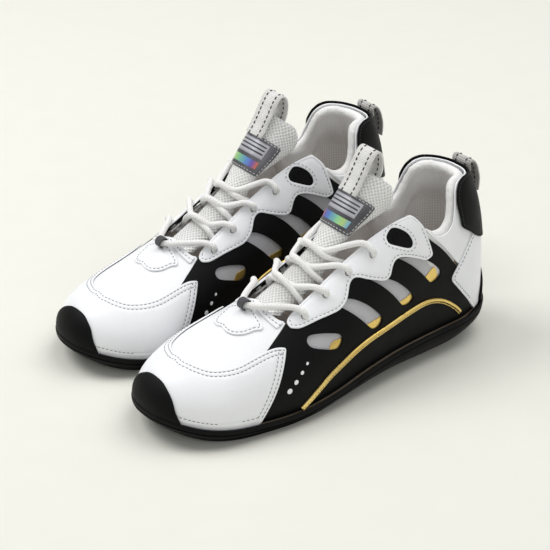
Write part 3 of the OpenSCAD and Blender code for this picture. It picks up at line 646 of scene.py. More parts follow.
def airMeshMaterial(name, light, shadedHole, rim):
    # open mesh in the middle, plain knit on the rolled edge, told apart by u; the mesh openings get a
    # painted shade colour
    m, tree, shader = newMaterial(name)
    a = useGroup(tree, "airMesh", Cell=0.0021, Opening=0.3)
    f = useGroup(tree, "fuzz", Scale=1600.0)
    y = useGroup(tree, "yarn", Along=3600.0, Across=3600.0, Slant=0.0)
    _, u, _ = patternUv(tree)
    middle = ramp(tree, sums(tree, "ABSOLUTE", u), rim - 0.0006, rim, 1.0, 0.0)
    holeShadeMask = sums(tree, "MULTIPLY", a.outputs["Hole"], middle)
    tone = mixColour(tree, f.outputs["Tone"], tuple(0.93 * c for c in light), light)
    # painted shade: the mesh openings are coloured grey as the shade inside the holes
    feed(tree, shader.inputs["Base Color"], mixColour(tree, holeShadeMask, tone, shadedHole))
    setInputs(shader, {"Roughness": 0.82, "Sheen Weight": 0.25})
    knit = sums(tree, "MULTIPLY", y.outputs["Height"], 0.35)
    mix = addNode(tree, "ShaderNodeMix", data_type="FLOAT")
    feed(tree, mix.inputs[0], middle)
    feed(tree, mix.inputs[2], knit)
    feed(tree, mix.inputs[3], a.outputs["Height"])
    bump(tree, shader, mix.outputs[0], 0.0005, 0.9)
    return m


def foilMaterial(name, light, dark, rough):
    m, tree, shader = newMaterial(name)
    g = useGroup(tree, "grain", Scale=1500.0, Crease=1.2)
    feed(tree, shader.inputs["Base Color"], mixColour(tree, g.outputs["Tone"], dark, light))
    shader.inputs["Metallic"].default_value = 0.92
    feed(tree, shader.inputs["Roughness"], ramp(tree, g.outputs["Rub"], 0, 1, rough[0], rough[1]))
    bump(tree, shader, g.outputs["Height"], 0.00008, 0.6)
    return m


def threadMaterial(name, light, dark):
    m, tree, shader = newMaterial(name)
    f = useGroup(tree, "fuzz", Scale=5200.0)
    feed(tree, shader.inputs["Base Color"], mixColour(tree, f.outputs["Height"], dark, light))
    shader.inputs["Roughness"].default_value = 0.6
    bump(tree, shader, f.outputs["Height"], 0.0001, 0.7)
    return m


def labelMaterial(name, c):
    # brushed grey plate, a paler panel with plain straight bands, and a shimmering bar below it
    m, tree, shader = newMaterial(name)
    g = useGroup(tree, "grain", Scale=2600.0, Crease=0.5)
    _, u, v = patternUv(tree)
    plate = mixColour(tree, g.outputs["Tone"], c["plateDark"], c["plate"])
    panel = useGroup(tree, "panel", Left=-0.64, Right=0.64, Low=0.42, High=0.86).outputs[0]
    inner = useGroup(tree, "panel", Left=-0.58, Right=0.58, Low=0.455, High=0.83).outputs[0]
    bar = useGroup(tree, "panel", Left=-0.64, Right=0.64, Low=0.15, High=0.33).outputs[0]
    band = sums(tree, "GREATER_THAN", sums(tree, "FRACT", sums(tree, "MULTIPLY", v, 9.0)), 0.6)
    colour = mixColour(tree, panel, plate, c["frame"])
    colour = mixColour(tree, inner, colour, mixColour(tree, band, c["silver"], c["plateDark"]))
    shimmer = addNode(tree, "ShaderNodeValToRGB")
    stops = [s + (1,) for s in c["bar"]]
    shimmer.color_ramp.elements[0].color = stops[0]
    shimmer.color_ramp.elements[1].color = stops[-1]
    for i, s in enumerate(stops[1:-1]):
        shimmer.color_ramp.elements.new((i + 1) / (len(stops) - 1)).color = s
    feed(tree, shimmer.inputs[0], ramp(tree, u, -0.64, 0.64))
    colour = mixColour(tree, bar, colour, shimmer.outputs[0])
    feed(tree, shader.inputs["Base Color"], colour)
    setInputs(shader, {"Metallic": 0.35, "Roughness": 0.33, "Coat Weight": 0.3, "Coat Roughness": 0.2})
    grain = sums(tree, "MULTIPLY", g.outputs["Height"], 0.15)
    bump(tree, shader, sums(tree, "ADD", sums(tree, "ADD", panel, bar), grain), 0.0003, 0.8)
    return m


labelColours = {"plate": (0.17, 0.17, 0.19), "plateDark": (0.05, 0.05, 0.06),
                "frame": (0.42, 0.42, 0.46), "silver": (0.5, 0.5, 0.54),
                "bar": [(0.75, 0.2, 0.08), (0.16, 0.12, 0.45), (0.1, 0.25, 0.6), (0.25, 0.6, 0.3),
                        (0.5, 0.7, 0.25), (0.2, 0.5, 0.75)]}
finish = {
    "whiteSkin": skinMaterial("whiteSkin", (0.90, 0.91, 0.93), (0.86, 0.87, 0.895), (0.34, 0.46), 0.12),
    "blackSkin": skinMaterial("blackSkin", (0.0028, 0.0028, 0.003), (0.0018, 0.0018, 0.002), (0.5, 0.6),
                              shine=0.14),
    "rubber": skinMaterial("rubber", (0.0034, 0.0034, 0.0036), (0.002, 0.002, 0.0022), (0.5, 0.62),
                           scale=1400.0, crease=0.9, depth=0.00008, shine=0.12),
    "goldFoil": foilMaterial("goldFoil", (0.90, 0.68, 0.24), (0.80, 0.56, 0.16), (0.24, 0.36)),
    "greyBacking": clothMaterial("greyBacking", (0.62, 0.62, 0.64), (0.52, 0.52, 0.55), 3200.0, 3200.0),
    # the second colour is the painted shade of the mesh openings
    "airMesh": airMeshMaterial("airMesh", (0.93, 0.93, 0.91), (0.64, 0.64, 0.63), 0.036),
    "lining": clothMaterial("lining", (0.93, 0.925, 0.91), (0.87, 0.865, 0.85), 2600.0, 2600.0),
    "footbed": clothMaterial("footbed", (0.72, 0.58, 0.50), (0.64, 0.50, 0.42), 1800.0, 1800.0),
    "whiteWebbing": clothMaterial("whiteWebbing", (0.92, 0.915, 0.89), (0.85, 0.845, 0.82), 300.0, 5200.0),
    "greyWebbing": clothMaterial("greyWebbing", (0.72, 0.71, 0.68), (0.50, 0.49, 0.47), 300.0, 5200.0),
    "lace": clothMaterial("lace", (0.94, 0.935, 0.92), (0.89, 0.885, 0.87), 1500.0, 6 * math.pi, 0.7,
                          0.0003, 2600.0, 0.15, 0.75),
    "keeperTape": clothMaterial("keeperTape", (0.07, 0.07, 0.08), (0.045, 0.045, 0.05), 3000.0, 3000.0),
    "whiteThread": threadMaterial("whiteThread", (0.78, 0.78, 0.76), (0.60, 0.60, 0.58)),
    "greyThread": threadMaterial("greyThread", (0.30, 0.30, 0.32), (0.20, 0.20, 0.22)),
    "blackThread": threadMaterial("blackThread", (0.02, 0.02, 0.022), (0.01, 0.01, 0.011)),
    "foam": clothMaterial("foam", (0.75, 0.75, 0.72), (0.66, 0.66, 0.63), 2000.0, 2000.0),
    "board": clothMaterial("board", (0.45, 0.36, 0.26), (0.36, 0.28, 0.19), 1500.0, 1500.0),
    "label": labelMaterial("label", labelColours)}
print("materials made:", len(finish))

# repeated things, as node trees


def nodeTree(name, inputs):
    tree = bpy.data.node_groups.new(name, "GeometryNodeTree")
    ids = {}
    for n, (kind, value) in inputs.items():
        s = tree.interface.new_socket(name=n, in_out="INPUT", socket_type="NodeSocket" + kind)
        if value is not None:
            s.default_value = value
        ids[n] = s.identifier
    tree.interface.new_socket(name="Geometry", in_out="OUTPUT", socket_type="NodeSocketGeometry")
    return tree, addNode(tree, "NodeGroupInput"), addNode(tree, "NodeGroupOutput"), ids


def closeTree(tree, inp, out, last):
    real = addNode(tree, "GeometryNodeRealizeInstances")
    smooth = addNode(tree, "GeometryNodeSetShadeSmooth")
    paint = addNode(tree, "GeometryNodeSetMaterial")
    wire(tree, (last, 0, real, 0), (real, 0, smooth, "Geometry"), (smooth, 0, paint, "Geometry"),
         (inp, "Material", paint, "Material"), (paint, 0, out, 0))


def stitchTree():  # a thread bead at every pitch along each line
    tree, inp, out, ids = nodeTree("stitchRun", {
        "Lines": ("Geometry", None), "Pitch": ("Float", 0.003), "Length": ("Float", 0.002),
        "Thickness": ("Float", 0.0006), "Wander": ("Float", 0.06), "Seed": ("Int", 3),
        "Material": ("Material", None)})
    curve = addNode(tree, "GeometryNodeMeshToCurve")
    even = addNode(tree, "GeometryNodeResampleCurve", mode="LENGTH")
    bead = addNode(tree, "GeometryNodeMeshUVSphere")
    setInputs(bead, {"Segments": 6, "Rings": 5, "Radius": 0.5})
    size = addNode(tree, "ShaderNodeCombineXYZ")
    stretch = addNode(tree, "GeometryNodeTransform")
    tangent = addNode(tree, "GeometryNodeInputTangent")
    turn = addNode(tree, "FunctionNodeAlignRotationToVector", axis="X")
    jitter = addNode(tree, "FunctionNodeRandomValue", data_type="FLOAT_VECTOR")
    less = addNode(tree, "ShaderNodeMath", operation="MULTIPLY")
    less.inputs[1].default_value = -1
    spin = addNode(tree, "FunctionNodeRotateRotation")
    spin.rotation_space = "LOCAL"
    place = addNode(tree, "GeometryNodeInstanceOnPoints")
    wire(tree, (inp, "Lines", curve, "Mesh"), (curve, 0, even, "Curve"), (inp, "Pitch", even, "Length"),
         (inp, "Length", size, 0), (inp, "Thickness", size, 1), (inp, "Thickness", size, 2),
         (bead, "Mesh", stretch, "Geometry"), (size, 0, stretch, "Scale"), (tangent, 0, turn, "Vector"),
         (inp, "Wander", less, 0), (less, 0, jitter, 0), (inp, "Wander", jitter, 1),
         (inp, "Seed", jitter, "Seed"), (turn, 0, spin, 0), (jitter, 0, spin, 1),
         (even, 0, place, "Points"), (stretch, 0, place, "Instance"), (spin, 0, place, "Rotation"))
    closeTree(tree, inp, out, place)
    return tree, ids


def ribTree():  # a rounded rib across the webbing at every pitch
    tree, inp, out, ids = nodeTree("webbingRibs", {
        "Line": ("Geometry", None), "Pitch": ("Float", 0.0013), "Width": ("Float", 0.017),
        "Radius": ("Float", 0.0008), "Material": ("Material", None)})
    curve = addNode(tree, "GeometryNodeMeshToCurve")
    even = addNode(tree, "GeometryNodeResampleCurve", mode="LENGTH")
    rib = addNode(tree, "GeometryNodeMeshCylinder", fill_type="NGON")
    rib.inputs["Vertices"].default_value = 8
    lay = addNode(tree, "GeometryNodeTransform")
    lay.inputs["Rotation"].default_value = (0, math.radians(90), 0)
    place = addNode(tree, "GeometryNodeInstanceOnPoints")
    wire(tree, (inp, "Line", curve, "Mesh"), (curve, 0, even, "Curve"), (inp, "Pitch", even, "Length"),
         (inp, "Radius", rib, "Radius"), (inp, "Width", rib, "Depth"), (rib, "Mesh", lay, "Geometry"),
         (even, 0, place, "Points"), (lay, 0, place, "Instance"))
    closeTree(tree, inp, out, place)
    return tree, ids


def studTree():  # six-sided tread studs on given points
    tree, inp, out, ids = nodeTree("treadStuds", {
        "Points": ("Geometry", None), "Radius": ("Float", 0.0026), "Depth": ("Float", 0.0018),
        "Material": ("Material", None)})
    stud = addNode(tree, "GeometryNodeMeshCylinder", fill_type="NGON")
    stud.inputs["Vertices"].default_value = 6
    place = addNode(tree, "GeometryNodeInstanceOnPoints")
    wire(tree, (inp, "Radius", stud, "Radius"), (inp, "Depth", stud, "Depth"),
         (inp, "Points", place, "Points"), (stud, "Mesh", place, "Instance"))
    closeTree(tree, inp, out, place)
    return tree, ids


trees = {"stitch": stitchTree(), "rib": ribTree(), "stud": studTree()}


def grown(name, runs, side, tree, **values):  # runs of points in mm through a node tree, to a mesh
    points, edges = [], []
    for run in runs:
        start = len(points)
        points += toWorld(run, side).tolist()
        edges += [(start + i, start + i + 1) for i in range(len(run) - 1)]
    mesh = bpy.data.meshes.new(name + "Lines")
    mesh.from_pydata(points, edges if tree != "stud" else [], [])
    lines = addObject(name + "Lines", mesh)
    group, ids = trees[tree]
    mod = lines.modifiers.new(tree, "NODES")
    mod.node_group = group
    for k, v in values.items():
        mod[ids[k]] = v
    dg = bpy.context.evaluated_depsgraph_get()
    done = bpy.data.meshes.new_from_object(lines.evaluated_get(dg), depsgraph=dg)
    done.name = name
    bpy.data.objects.remove(lines)
    bpy.data.meshes.remove(mesh)
    return addObject(name, done)


def growPair(name, runs, tree, slot, part="shoe", **values):
    for word, side in sides.items():
        giveBody(grown(word + name, runs, side, tree, **values), word, part)


seams = {"white": [], "black": [], "grey": [], "tongueGrey": [], "tongueBlack": [], "heelBlack": []}

# sole

sole = {"stations": 110, "recess": 1.6, "lip": 4.9, "studPitch": 6.6, "studRadius": 0.0027,
        "bumper": (2.95, 4.25), "heelLip": (2.35, 3.95)}


def solePlan(u, s, o, z):
    p = lastPoint(u, np.full(len(u), s))
    d = (lastPoint(np.minimum(u + 0.5, 269.9), np.full(len(u), s))
         - lastPoint(np.maximum(u - 0.5, 0.1), np.full(len(u), s)))
    n = unit(np.stack([s * d[:, 1], -s * d[:, 0]], -1))
    return np.stack([p[:, 0] + o * n[:, 0], p[:, 1] + o * n[:, 1], z], -1)


def soleLoop(u, o, z):
    a = solePlan(u, 1.0, o, z)
    b = solePlan(u, -1.0, o, z)
    return np.vstack([a, b[-2:0:-1]])


def bowlOf(rings):  # closed body through loops, bridged from side to side at both ends
    rings = np.array(rings)
    m, n = rings.shape[:2]
    faces = gridFaces(m, n, closed=True)
    for row, flip in ((0, False), ((m - 1) * n, True)):
        for i in range(n // 2):
            a, b, c, d = i, i + 1, n - i - 1, (n - i) % n
            f = [row + x for x in (([a, c, b] if i == 0 else [a, d, c, b]) if i < n // 2 - 1 else [a, d, b])]
            faces.append(f[::-1] if flip else f)
    return facingOut({"points": rings.reshape(-1, 3), "faces": faces})


def stationsFor(n):
    return 135 * (1 - np.cos(np.pi * np.linspace(0, 1, n)))


def outsoleShape(c):
    u = stationsFor(c["stations"])
    top, inset = fromTable("edgeHeight", u), fromTable("treadInset", u)
    low = np.maximum(0, fromTable("treadHeight", u))
    r = c["recess"]
    profile = [(-inset - 9, low + r), (-inset - 2.4, low + r), (-inset - 2.1, low + 0.5),
               (-inset - 1.6, low + 0.05), (-inset - 0.4, low + 0.02)]
    wall = smoothLine(np.array([
        np.stack([-inset, low + 0.25], -1), np.stack([-0.4 * inset, low * 0.8 + top * 0.2], -1),
        np.stack([0 * inset + 3.4, low * 0.4 + top * 0.6], -1),
        np.stack([0 * inset + 4.6, top - 2.9], -1)]).reshape(4, -1), 5).reshape(-1, len(u), 2)
    profile += [(w[:, 0], w[:, 1]) for w in wall]
    for o, z in ((4.0, -2.55), (4.0, -2.2), (c["lip"] - 0.15, -1.8), (c["lip"], -0.8), (c["lip"], 0.3),
                 (c["lip"] - 0.2, 0.9), (c["lip"] - 0.6, 1.2), (3.7, 1.2), (3.4, 1.0), (1.4, -2.1)):
        profile.append((0 * u + o, top + z))
    profile.append((-inset - 2.6, low + 3.2))
    body = bowlOf([soleLoop(u, o, z) for o, z in profile])
    toe = flatLoop([[[12, 1], [8, 1], [4, 1], [1, 1], [0, 1], [1, -1], [4, -1], [8, -1], [11, -1]],
                    [[11, -1], [8, -0.84], [5.8, -0.68], [3.2, -0.58], [1, -0.51], [0, 0.49], [1, 0.51],
                     [3.5, 0.585], [6.5, 0.70], [9, 0.86], [12, 1]]], "toe", 1.0)
    bumper = cutPiece(toe, "toe", 1, c["bumper"][0], c["bumper"][1], edge=1.0, spacing=2.0, puff=0.5)
    back = flatLoop([[[258, 1], [265, 1], [268, 1], [270, 1], [268, -1], [265, -1], [258, -1]],
                     [[258, -1], [258, -0.985], [265, -0.955], [268, -0.935], [270, 0.925],
                      [268, 0.935], [265, 0.955], [258, 0.985], [258, 1]]], "heel", 0.8)
    heel = cutPiece(back, "heel", 1, c["heelLip"][0], c["heelLip"][1], edge=0.7, spacing=1.6)
    return joined(body, bumper, heel)


def studPoints(c):  # rows of studs under the forefoot and the heel
    rows = np.arange(22, 252, c["studPitch"] * 0.87)
    u = stationsFor(120)
    inset = fromTable("treadInset", u)
    rim = {s: solePlan(u, s, -inset - 5.2, 0 * u) for s in (1.0, -1.0)}
    points = []
    for n, y in enumerate(rows):
        if 124 < y < 190:
            continue
        edge = [np.interp(y, rim[s][:, 1], rim[s][:, 0]) for s in (-1.0, 1.0)]
        for x in np.arange(-60, 60, c["studPitch"]) + (n % 2) * c["studPitch"] / 2:
            if edge[0] < x < edge[1]:
                z = max(0, float(fromTable("treadHeight", y)))
                points.append((x, y, z + 0.93))
    return np.array(points)


makePair("Outsole", outsoleShape(sole), finish["rubber"], ["outsole"])
growPair("TreadStuds", [studPoints(sole)], "stud", "rubber", Radius=sole["studRadius"], Depth=0.0018,
         Material=finish["rubber"])

footbedShape = {"inset": -4.6, "thick": 4.0}


def makeFootbed(c):
    u = stationsFor(90)
    top = fromTable("edgeHeight", u)
    o, t = c["inset"], c["thick"]
    rings = [(o, 0.2), (o, t - 1.2), (o - 0.3, t - 0.5), (o - 0.9, t - 0.1), (o - 2, t), (o - 6, t + 0.2)]
    shape = bowlOf([soleLoop(u, 0 * u + a, top + b) for a, b in rings])
    shape["uv"] = shape["points"][:, :2] / 1000
    makePair("Footbed", shape, finish["footbed"], ["footbed"])


makeFootbed(footbedShape)
print("soles made")

# skins of the upper

skin = {"base": (0.0, 0.9), "overlay": (1.15, 2.05), "cap": (1.55, 2.45), "strip": (2.3, 3.2),
        "backing": (-1.4, -0.95), "foil": (-0.75, -0.4), "seam": 1.9, "inside": -1.9}
holes = [(110, 0.36), (128, 0.35), (146.5, 0.35), (165, 0.385)]
holeRadius = 2.5
lowEdge = [[62, 1], [100, 1], [150, 1], [200, 1], [254, 1]]


def sewPair(name, node, surface, layer, loop, where, side=1, **cut):
    shape = cutPiece(loop, where, side, *skin[layer], **cut)
    makePair(name, shape, finish[surface], [node])


def vampShape():
    n, m = 36, 44
    table = [[0, 0.14, 0.24, 0.30, 0.36, 0.42, 0.6, 0.8, 1], [91, 91.5, 94, 98, 85, 73.5, 69.5, 67, 61.5]]
    f = np.linspace(1, -1, 2 * n + 1)
    u = np.interp(np.abs(f), *table)[None, :] * (np.arange(m + 1)[:, None] / m) ** 1.8
    ff = np.broadcast_to(f, u.shape).copy()
    ff[0] = np.abs(ff[0])
    flat = np.stack([u, ff * across], -1) / 1000
    return facingOut(shellOf(skinPoint(u, ff, np.full(u.shape, skin["base"][1])),
                             skinPoint(u, ff, np.full(u.shape, skin["base"][0])), flat))


makePair("Vamp", vampShape(), finish["whiteSkin"], ["vamp"], merge=True)

capTop = [[89.5, 0.47], [83, 0.425], [74, 0.405], [63, 0.402], [52, 0.402], [41, 0.38], [30, 0.34],
          [20, 0.27], [9, 0.19], [0, 0.12]]
capLow = [[61.5, 1], [54, 1], [45, 1], [36, 1], [27, 1], [18, 1], [10, 1], [4, 1], [1, 1], [0, 1]]
capLoop = flatLoop([wrapped(capLow), [[61.5, -1], [75.5, -0.735], [89.5, -0.47]],
                    wrapped(capTop)[::-1], [[89.5, 0.47], [75.5, 0.735], [61.5, 1]]], "toe", 1.2)
capSeams = (1.8, 4.6)
sewPair("ToeCap", "toe_cap", "whiteSkin", "cap", capLoop, "toe", edge=0.4, seams=capSeams)
for d in capSeams:
    seams["white"] += seamRuns(capLoop, d, "toe", 1, skin["cap"][1] - 0.15, lambda x, v: v < 0.93)

sideFront = [[62, 1], [65, 0.9], [67.5, 0.8], [70, 0.6], [74, 0.42], [85.5, 0.36], [98.5, 0.305],
             [104, 0.27]]
sideBack = [[254, 1], [241, 0.9], [230.5, 0.81], [224.3, 0.75], [218.3, 0.693], [210.3, 0.62],
            [204, 0.54], [200.3, 0.43]]
sideTop = [[104 + 97 * t, float(rimAt(104 + 97 * t))] for t in np.linspace(0, 1, 12)]
slots = [[[104, 0.53], [108, 0.507], [124, 0.62], [129, 0.68], [127, 0.725], [121, 0.715], [107, 0.60]],
         [[133, 0.50], [141, 0.508], [161, 0.755], [163, 0.805], [158, 0.82], [151, 0.765]],
         [[158, 0.515], [172.5, 0.623], [190, 0.80], [190, 0.835], [184, 0.83], [179, 0.79]],
         [[181, 0.55], [202, 0.68], [215.5, 0.785], [215, 0.815], [210, 0.822], [205, 0.797]]]
stayLow = [[98, 0.362], [103, 0.41], [110, 0.437], [117, 0.46], [125, 0.49], [132, 0.512], [138, 0.50],
           [141.5, 0.46], [144.5, 0.42], [149, 0.42], [156, 0.495], [162, 0.552], [168, 0.598],
           [172.5, 0.602], [175.5, 0.56], [179.5, 0.543], [186, 0.575], [195, 0.637], [203, 0.688],
           [209.5, 0.69]]
stayTop = [[97.5, 0.31], [101, 0.283], [108, 0.27], [115, 0.268], [123, 0.265], [131, 0.263],
           [137, 0.262], [142, 0.262], [146, 0.262], [150, 0.264], [155, 0.267], [160, 0.272],
           [165, 0.277], [170, 0.286], [174, 0.296], [179, 0.308], [185, 0.325], [192, 0.35],
           [199, 0.39], [205, 0.50]]
tearDrop = [[176.5, 0.372], [178.5, 0.352], [183.5, 0.352], [191.5, 0.455], [194.5, 0.545], [190, 0.548],
            [178, 0.433]]
backingLines = ([[99, 0.70], [120, 0.78], [142, 0.84], [165, 0.88], [190, 0.90], [218, 0.89]],
                [[99, 0.47], [120, 0.48], [142, 0.47], [165, 0.51], [190, 0.55], [213, 0.64]])
foilLines = ([[115, 0.745], [128, 0.79], [142, 0.825], [165, 0.855], [190, 0.865], [216, 0.845]],
             [[121, 0.66], [132, 0.70], [146, 0.745], [166, 0.785], [192, 0.80], [212, 0.755]])
pipingLine = [[92.5, 0.985], [98, 0.95], [106, 0.905], [117, 0.86], [133, 0.838], [150, 0.842],
              [170, 0.863], [188, 0.874], [203, 0.886], [216, 0.915], [228, 0.958], [234.5, 0.985]]
pipingSize = {"half": 1.7, "lift": 1.15, "rise": 1.3}
sideDetails = {"eyelet": (183.5, 0.415, 3.0, 1.3), "eyeletLift": (0.7, 1.5), "dotLift": (0.7, 1.12),
               "dots": ((84, 0.80, 1.9), (89.5, 0.755, 1.6), (95, 0.71, 1.3), (100, 0.67, 1.0))}


def closedSlot(points, soften=3):
    return flatLoop([points + points[:1]], "side", 0.7, soften)


def pipingShape(s, c):
    line = resample(smoothLine(pipingLine, 10), 0.9)
    u, f = line[:, 0], s * line[:, 1]
    p = lastPoint(u, f)
    o = outward(u, f)
    x = unit(np.cross(unit(np.gradient(p, axis=0)), o)) * s * c["half"]
    base = skinPoint(u, f, np.full(len(u), c["lift"]))
    prof = [(-1, 0), (-1, 0.45), (-0.92, 0.75), (-0.7, 0.95), (-0.3, 1.08), (0.0, 1.12), (0.12, 0.7),
            (0.3, 0.62), (0.45, 0.72), (0.62, 1.0), (0.85, 0.95), (0.97, 0.7), (1, 0.4), (1, 0)]
    rings = np.stack([base + a * x + b * o * c["rise"] for a, b in prof], 1)
    groove = base + 0.25 * x + 0.78 * o * c["rise"]
    return facingOut(tubeOf(rings)), groove


for word, s in (("lateral", 1), ("medial", -1)):
    title = word.capitalize()
    eyes = [flatCircle(u, f, holeRadius) for u, f in holes]
    panel = flatLoop([lowEdge, sideBack, sideTop[::-1], sideFront[::-1]], "side", 1.2)
    sewPair(title + "Panel", word + "_panel", "blackSkin", "base", panel, "side", s, edge=0.35,
            spacing=3.0, holes=[closedSlot(x) for x in slots] + eyes)
    backing = flatLoop([backingLines[0], backingLines[1][::-1]], "side", 1.6)
    sewPair(title + "Backing", word + "_backing", "greyBacking", "backing", backing, "side", s,
            edge=0.1, spacing=4.0)
    foil = flatLoop([foilLines[0], foilLines[1][::-1]], "side", 1.4)
    sewPair(title + "Foil", word + "_foil", "goldFoil", "foil", foil, "side", s, edge=0.1, puff=0.15)
    pipe, groove = pipingShape(s, pipingSize)
    makePair(title + "Piping", pipe, finish["goldFoil"], [word + "_piping"])
    seams["black"].append(groove)
    stay = flatLoop([stayLow, stayTop[::-1]], "side", 1.1)
    drop = closedSlot(tearDrop, 4)
    sewPair(title + "Eyestay", word + "_eyestay", "whiteSkin", "overlay", stay, "side", s, edge=0.4,
            spacing=2.2, holes=eyes + [drop], seams=(skin["seam"],))
    seams["grey"] += seamRuns(stay, skin["seam"], "side", s, skin["overlay"][1] - 0.15,
                              lambda x, v: (v > rimAt(x) + 0.045) | (x < 101))
    seams["grey"] += seamRuns(drop[::-1], skin["seam"], "side", s, skin["overlay"][1] + 0.05)
    u, f, outerRadius, innerRadius = sideDetails["eyelet"]
    eyelet = cutPiece(flatCircle(u, f, outerRadius), "side", s, *sideDetails["eyeletLift"], edge=0.35,
                      spacing=1.2, holes=[flatCircle(u, f, innerRadius)])
    dots = joined(*[cutPiece(flatCircle(u, f, r, 16), "side", s, *sideDetails["dotLift"], edge=0.12,
                             spacing=0.9) for u, f, r in sideDetails["dots"]])
    makePair(title + "BlindEyelet", eyelet, finish["rubber"])
    makePair(title + "SideDots", dots, finish["whiteSkin"])

ankleLow = [[207, 0.545], [211, 0.60], [219, 0.68], [231, 0.795], [242, 0.86], [256, 0.88], [270, 0.89]]
heelTop = [[225.5, 0.848], [232, 0.808], [240, 0.758], [249, 0.711], [259, 0.68], [270, 0.66]]
heelLow = [[225.5, 0.86], [232, 0.905], [240, 0.953], [250, 0.998], [260, 0.998], [270, 0.998]]
stripLow = [[237, 0.642], [243, 0.68], [257, 0.765], [270, 0.83]]


def rimLine(start, n=14):
    return [[u, float(rimAt(u)) + 0.003] for u in np.linspace(start, 270, n)]


ankle = flatLoop([wrapped(ankleLow), wrapped(rimLine(207, 30))[::-1]], "heel", 1.3)
sewPair("AnklePanel", "ankle_panel", "whiteSkin", "base", ankle, "heel", edge=0.4, spacing=3.0)
heelPanel = flatLoop([wrapped(heelLow), wrapped(heelTop)[::-1]], "heel", 1.3)
sewPair("HeelPanel", "heel_panel", "whiteSkin", "overlay", heelPanel, "heel", edge=0.45, spacing=3.0,
        seams=(skin["seam"],))
seams["white"] += seamRuns(heelPanel, skin["seam"], "heel", 1, skin["overlay"][1] - 0.15,
                           lambda x, v: v < 0.965)
strip = flatLoop([wrapped(stripLow), wrapped(rimLine(237, 20))[::-1]], "heel", 1.2)
sewPair("HeelStrip", "heel_strip", "blackSkin", "strip", strip, "heel", edge=0.4, spacing=2.8,
        seams=(skin["seam"],))
seams["black"] += seamRuns(strip, skin["seam"], "heel", 1, skin["strip"][1] - 0.15)

patchSeam = 1.8
patchLoop = flatLoop([wrapped([[76, 0.20], [66, 0.17], [57, 0.10], [53, 0.0]]),
                      [[76, -0.2], [83, -0.2], [83, 0.2], [76, 0.2]]], "top", 0.9, 3)
sewPair("ThroatPatch", "throat_patch", "whiteSkin", "overlay", patchLoop, "top", edge=0.35, spacing=1.8,
        seams=(patchSeam,))
seams["white"] += seamRuns(patchLoop, patchSeam, "top", 1, skin["overlay"][1] - 0.15)
trimLoop = flatLoop([wrapped([[90, 0.30], [88, 0.22], [86, 0.11], [85.5, 0.0]]),
                     wrapped([[96, -0.29], [93, -0.21], [91, -0.10], [90.5, 0.0]])], "top", 0.9)
sewPair("ThroatTrim", "throat_trim", "whiteSkin", "overlay", trimLoop, "top", edge=0.35, spacing=1.6)
trimSeam = wrapped([[93, 0.29], [90.6, 0.22], [88.6, 0.11], [88, 0.0]])
seams["white"].append(openRun(trimSeam, "top", 1, skin["overlay"][1]))
print("skins made")

# padding, tongue and laces

padding = {"foam": 6.0, "lining": 1.0, "voxel": 0.0022, "pressure": 4.0, "frames": 20, "cap": 0.0011}


def foamAt(u, f):
    d = (np.abs(f) - rimAt(u)) / 0.3
    a = np.clip((u - 196) / 20, 0, 1)
    bulge = 0.3 + (padding["foam"] - 0.3) * a * np.sin(np.pi * np.clip(d, 0.28, 1)) ** 0.8
    return np.where(d >= 1, 0.3, bulge)


def roundHeel(start, n):  # stations round the heel, outer side first
    u = start + (270 - start) * np.sin(np.linspace(0, np.pi / 2, n)) ** 1.3
    return np.concatenate([u, u[-2::-1]]), np.concatenate([np.ones(n), -np.ones(n - 1)])


def liningShape():
    u, s = roundHeel(104, 70)
    rows = 26
    t = np.linspace(0, 1, rows)[:, None]
    sock = rimAt(u) + np.interp(u, [190, 204], [0.03, 0])
    v = 1 - (1 - sock)[None, :] * t
    uu, ff = np.broadcast_to(u, v.shape), s[None, :] * v
    lift = skin["inside"] - foamAt(uu, ff)
    outer = skinPoint(uu, ff, lift)
    arc = lengthsAlong(outer[-1])
    uv = np.stack([np.broadcast_to(arc, v.shape), v * across], -1) / 1000
    return facingOut(shellOf(outer, skinPoint(uu, ff, lift - padding["lining"]), uv))


def collarShape():
    u, s = roundHeel(194, 60)
    rim = rimAt(u)
    section = [(d, -1.45, 0) for d in np.linspace(0.25, 0.01, 9)]
    section += [(0.004 - 0.034 * math.sin(a), 0, (1 - math.cos(a)) / 2) for a in np.linspace(0, math.pi, 9)]
    section += [(d, 0, 1) for d in np.linspace(0.02, 0.25, 14)]
    rings = []
    for d, outerLift, part in section:
        v = rim + d
        inner = -3.35 - foamAt(u, np.maximum(v, rim + 0.012))
        lift = np.where(outerLift != 0, outerLift, -1.45 + (inner + 1.45) * part)
        rings.append(skinPoint(u, s * v, lift))
    rings = np.stack(rings, 1)
    along = lengthsAlong(rings[:, 13])
    step = np.linalg.norm(np.diff(rings, axis=1), axis=2).mean(0)
    around = np.concatenate([[0], np.cumsum(step)])
    uv = np.stack(np.broadcast_arrays(along[:, None], around[None, :]), -1) / 1000
    return facingOut(tubeOf(rings, uv=uv))


tongueShape = {
    "stations": [[84, 57.2, 10, 3, 2], [92, 62, 12.6, 5, 2], [104, 68, 14, 9, 2], [118, 75.8, 14, 10, 2],
                 [131, 85.3, 13, 10.5, 2], [140, 93, 12.1, 11, 2.1], [149.6, 103.8, 13.2, 11, 2.7],
                 [159.6, 117.6, 16, 21, 2.6], [168, 127.6, 17, 29, 2.6], [174, 134, 18.6, 37, 2.5],
                 [177, 137.6, 19.4, 41, 2.4]],
    "span": [[7.6, 8, 9, 9.7, 10], [85, 84, 69, 54, 45]],
    "depth": [[0, 1, 2.5, 9, 10], [1.2, 1.6, 4.6, 5.2, 3.6]], "seamAt": 0.036, "seamDepth": 0.0011}


def tongueAt(v):
    t = np.array(tongueShape["stations"], float)
    v = np.clip(np.asarray(v, float), 0, 10)
    i = np.minimum(np.floor(v).astype(int), 9)
    return between(t[np.maximum(i - 1, 0)], t[i], t[i + 1], t[np.minimum(i + 2, 10)], (v - i)[..., None])


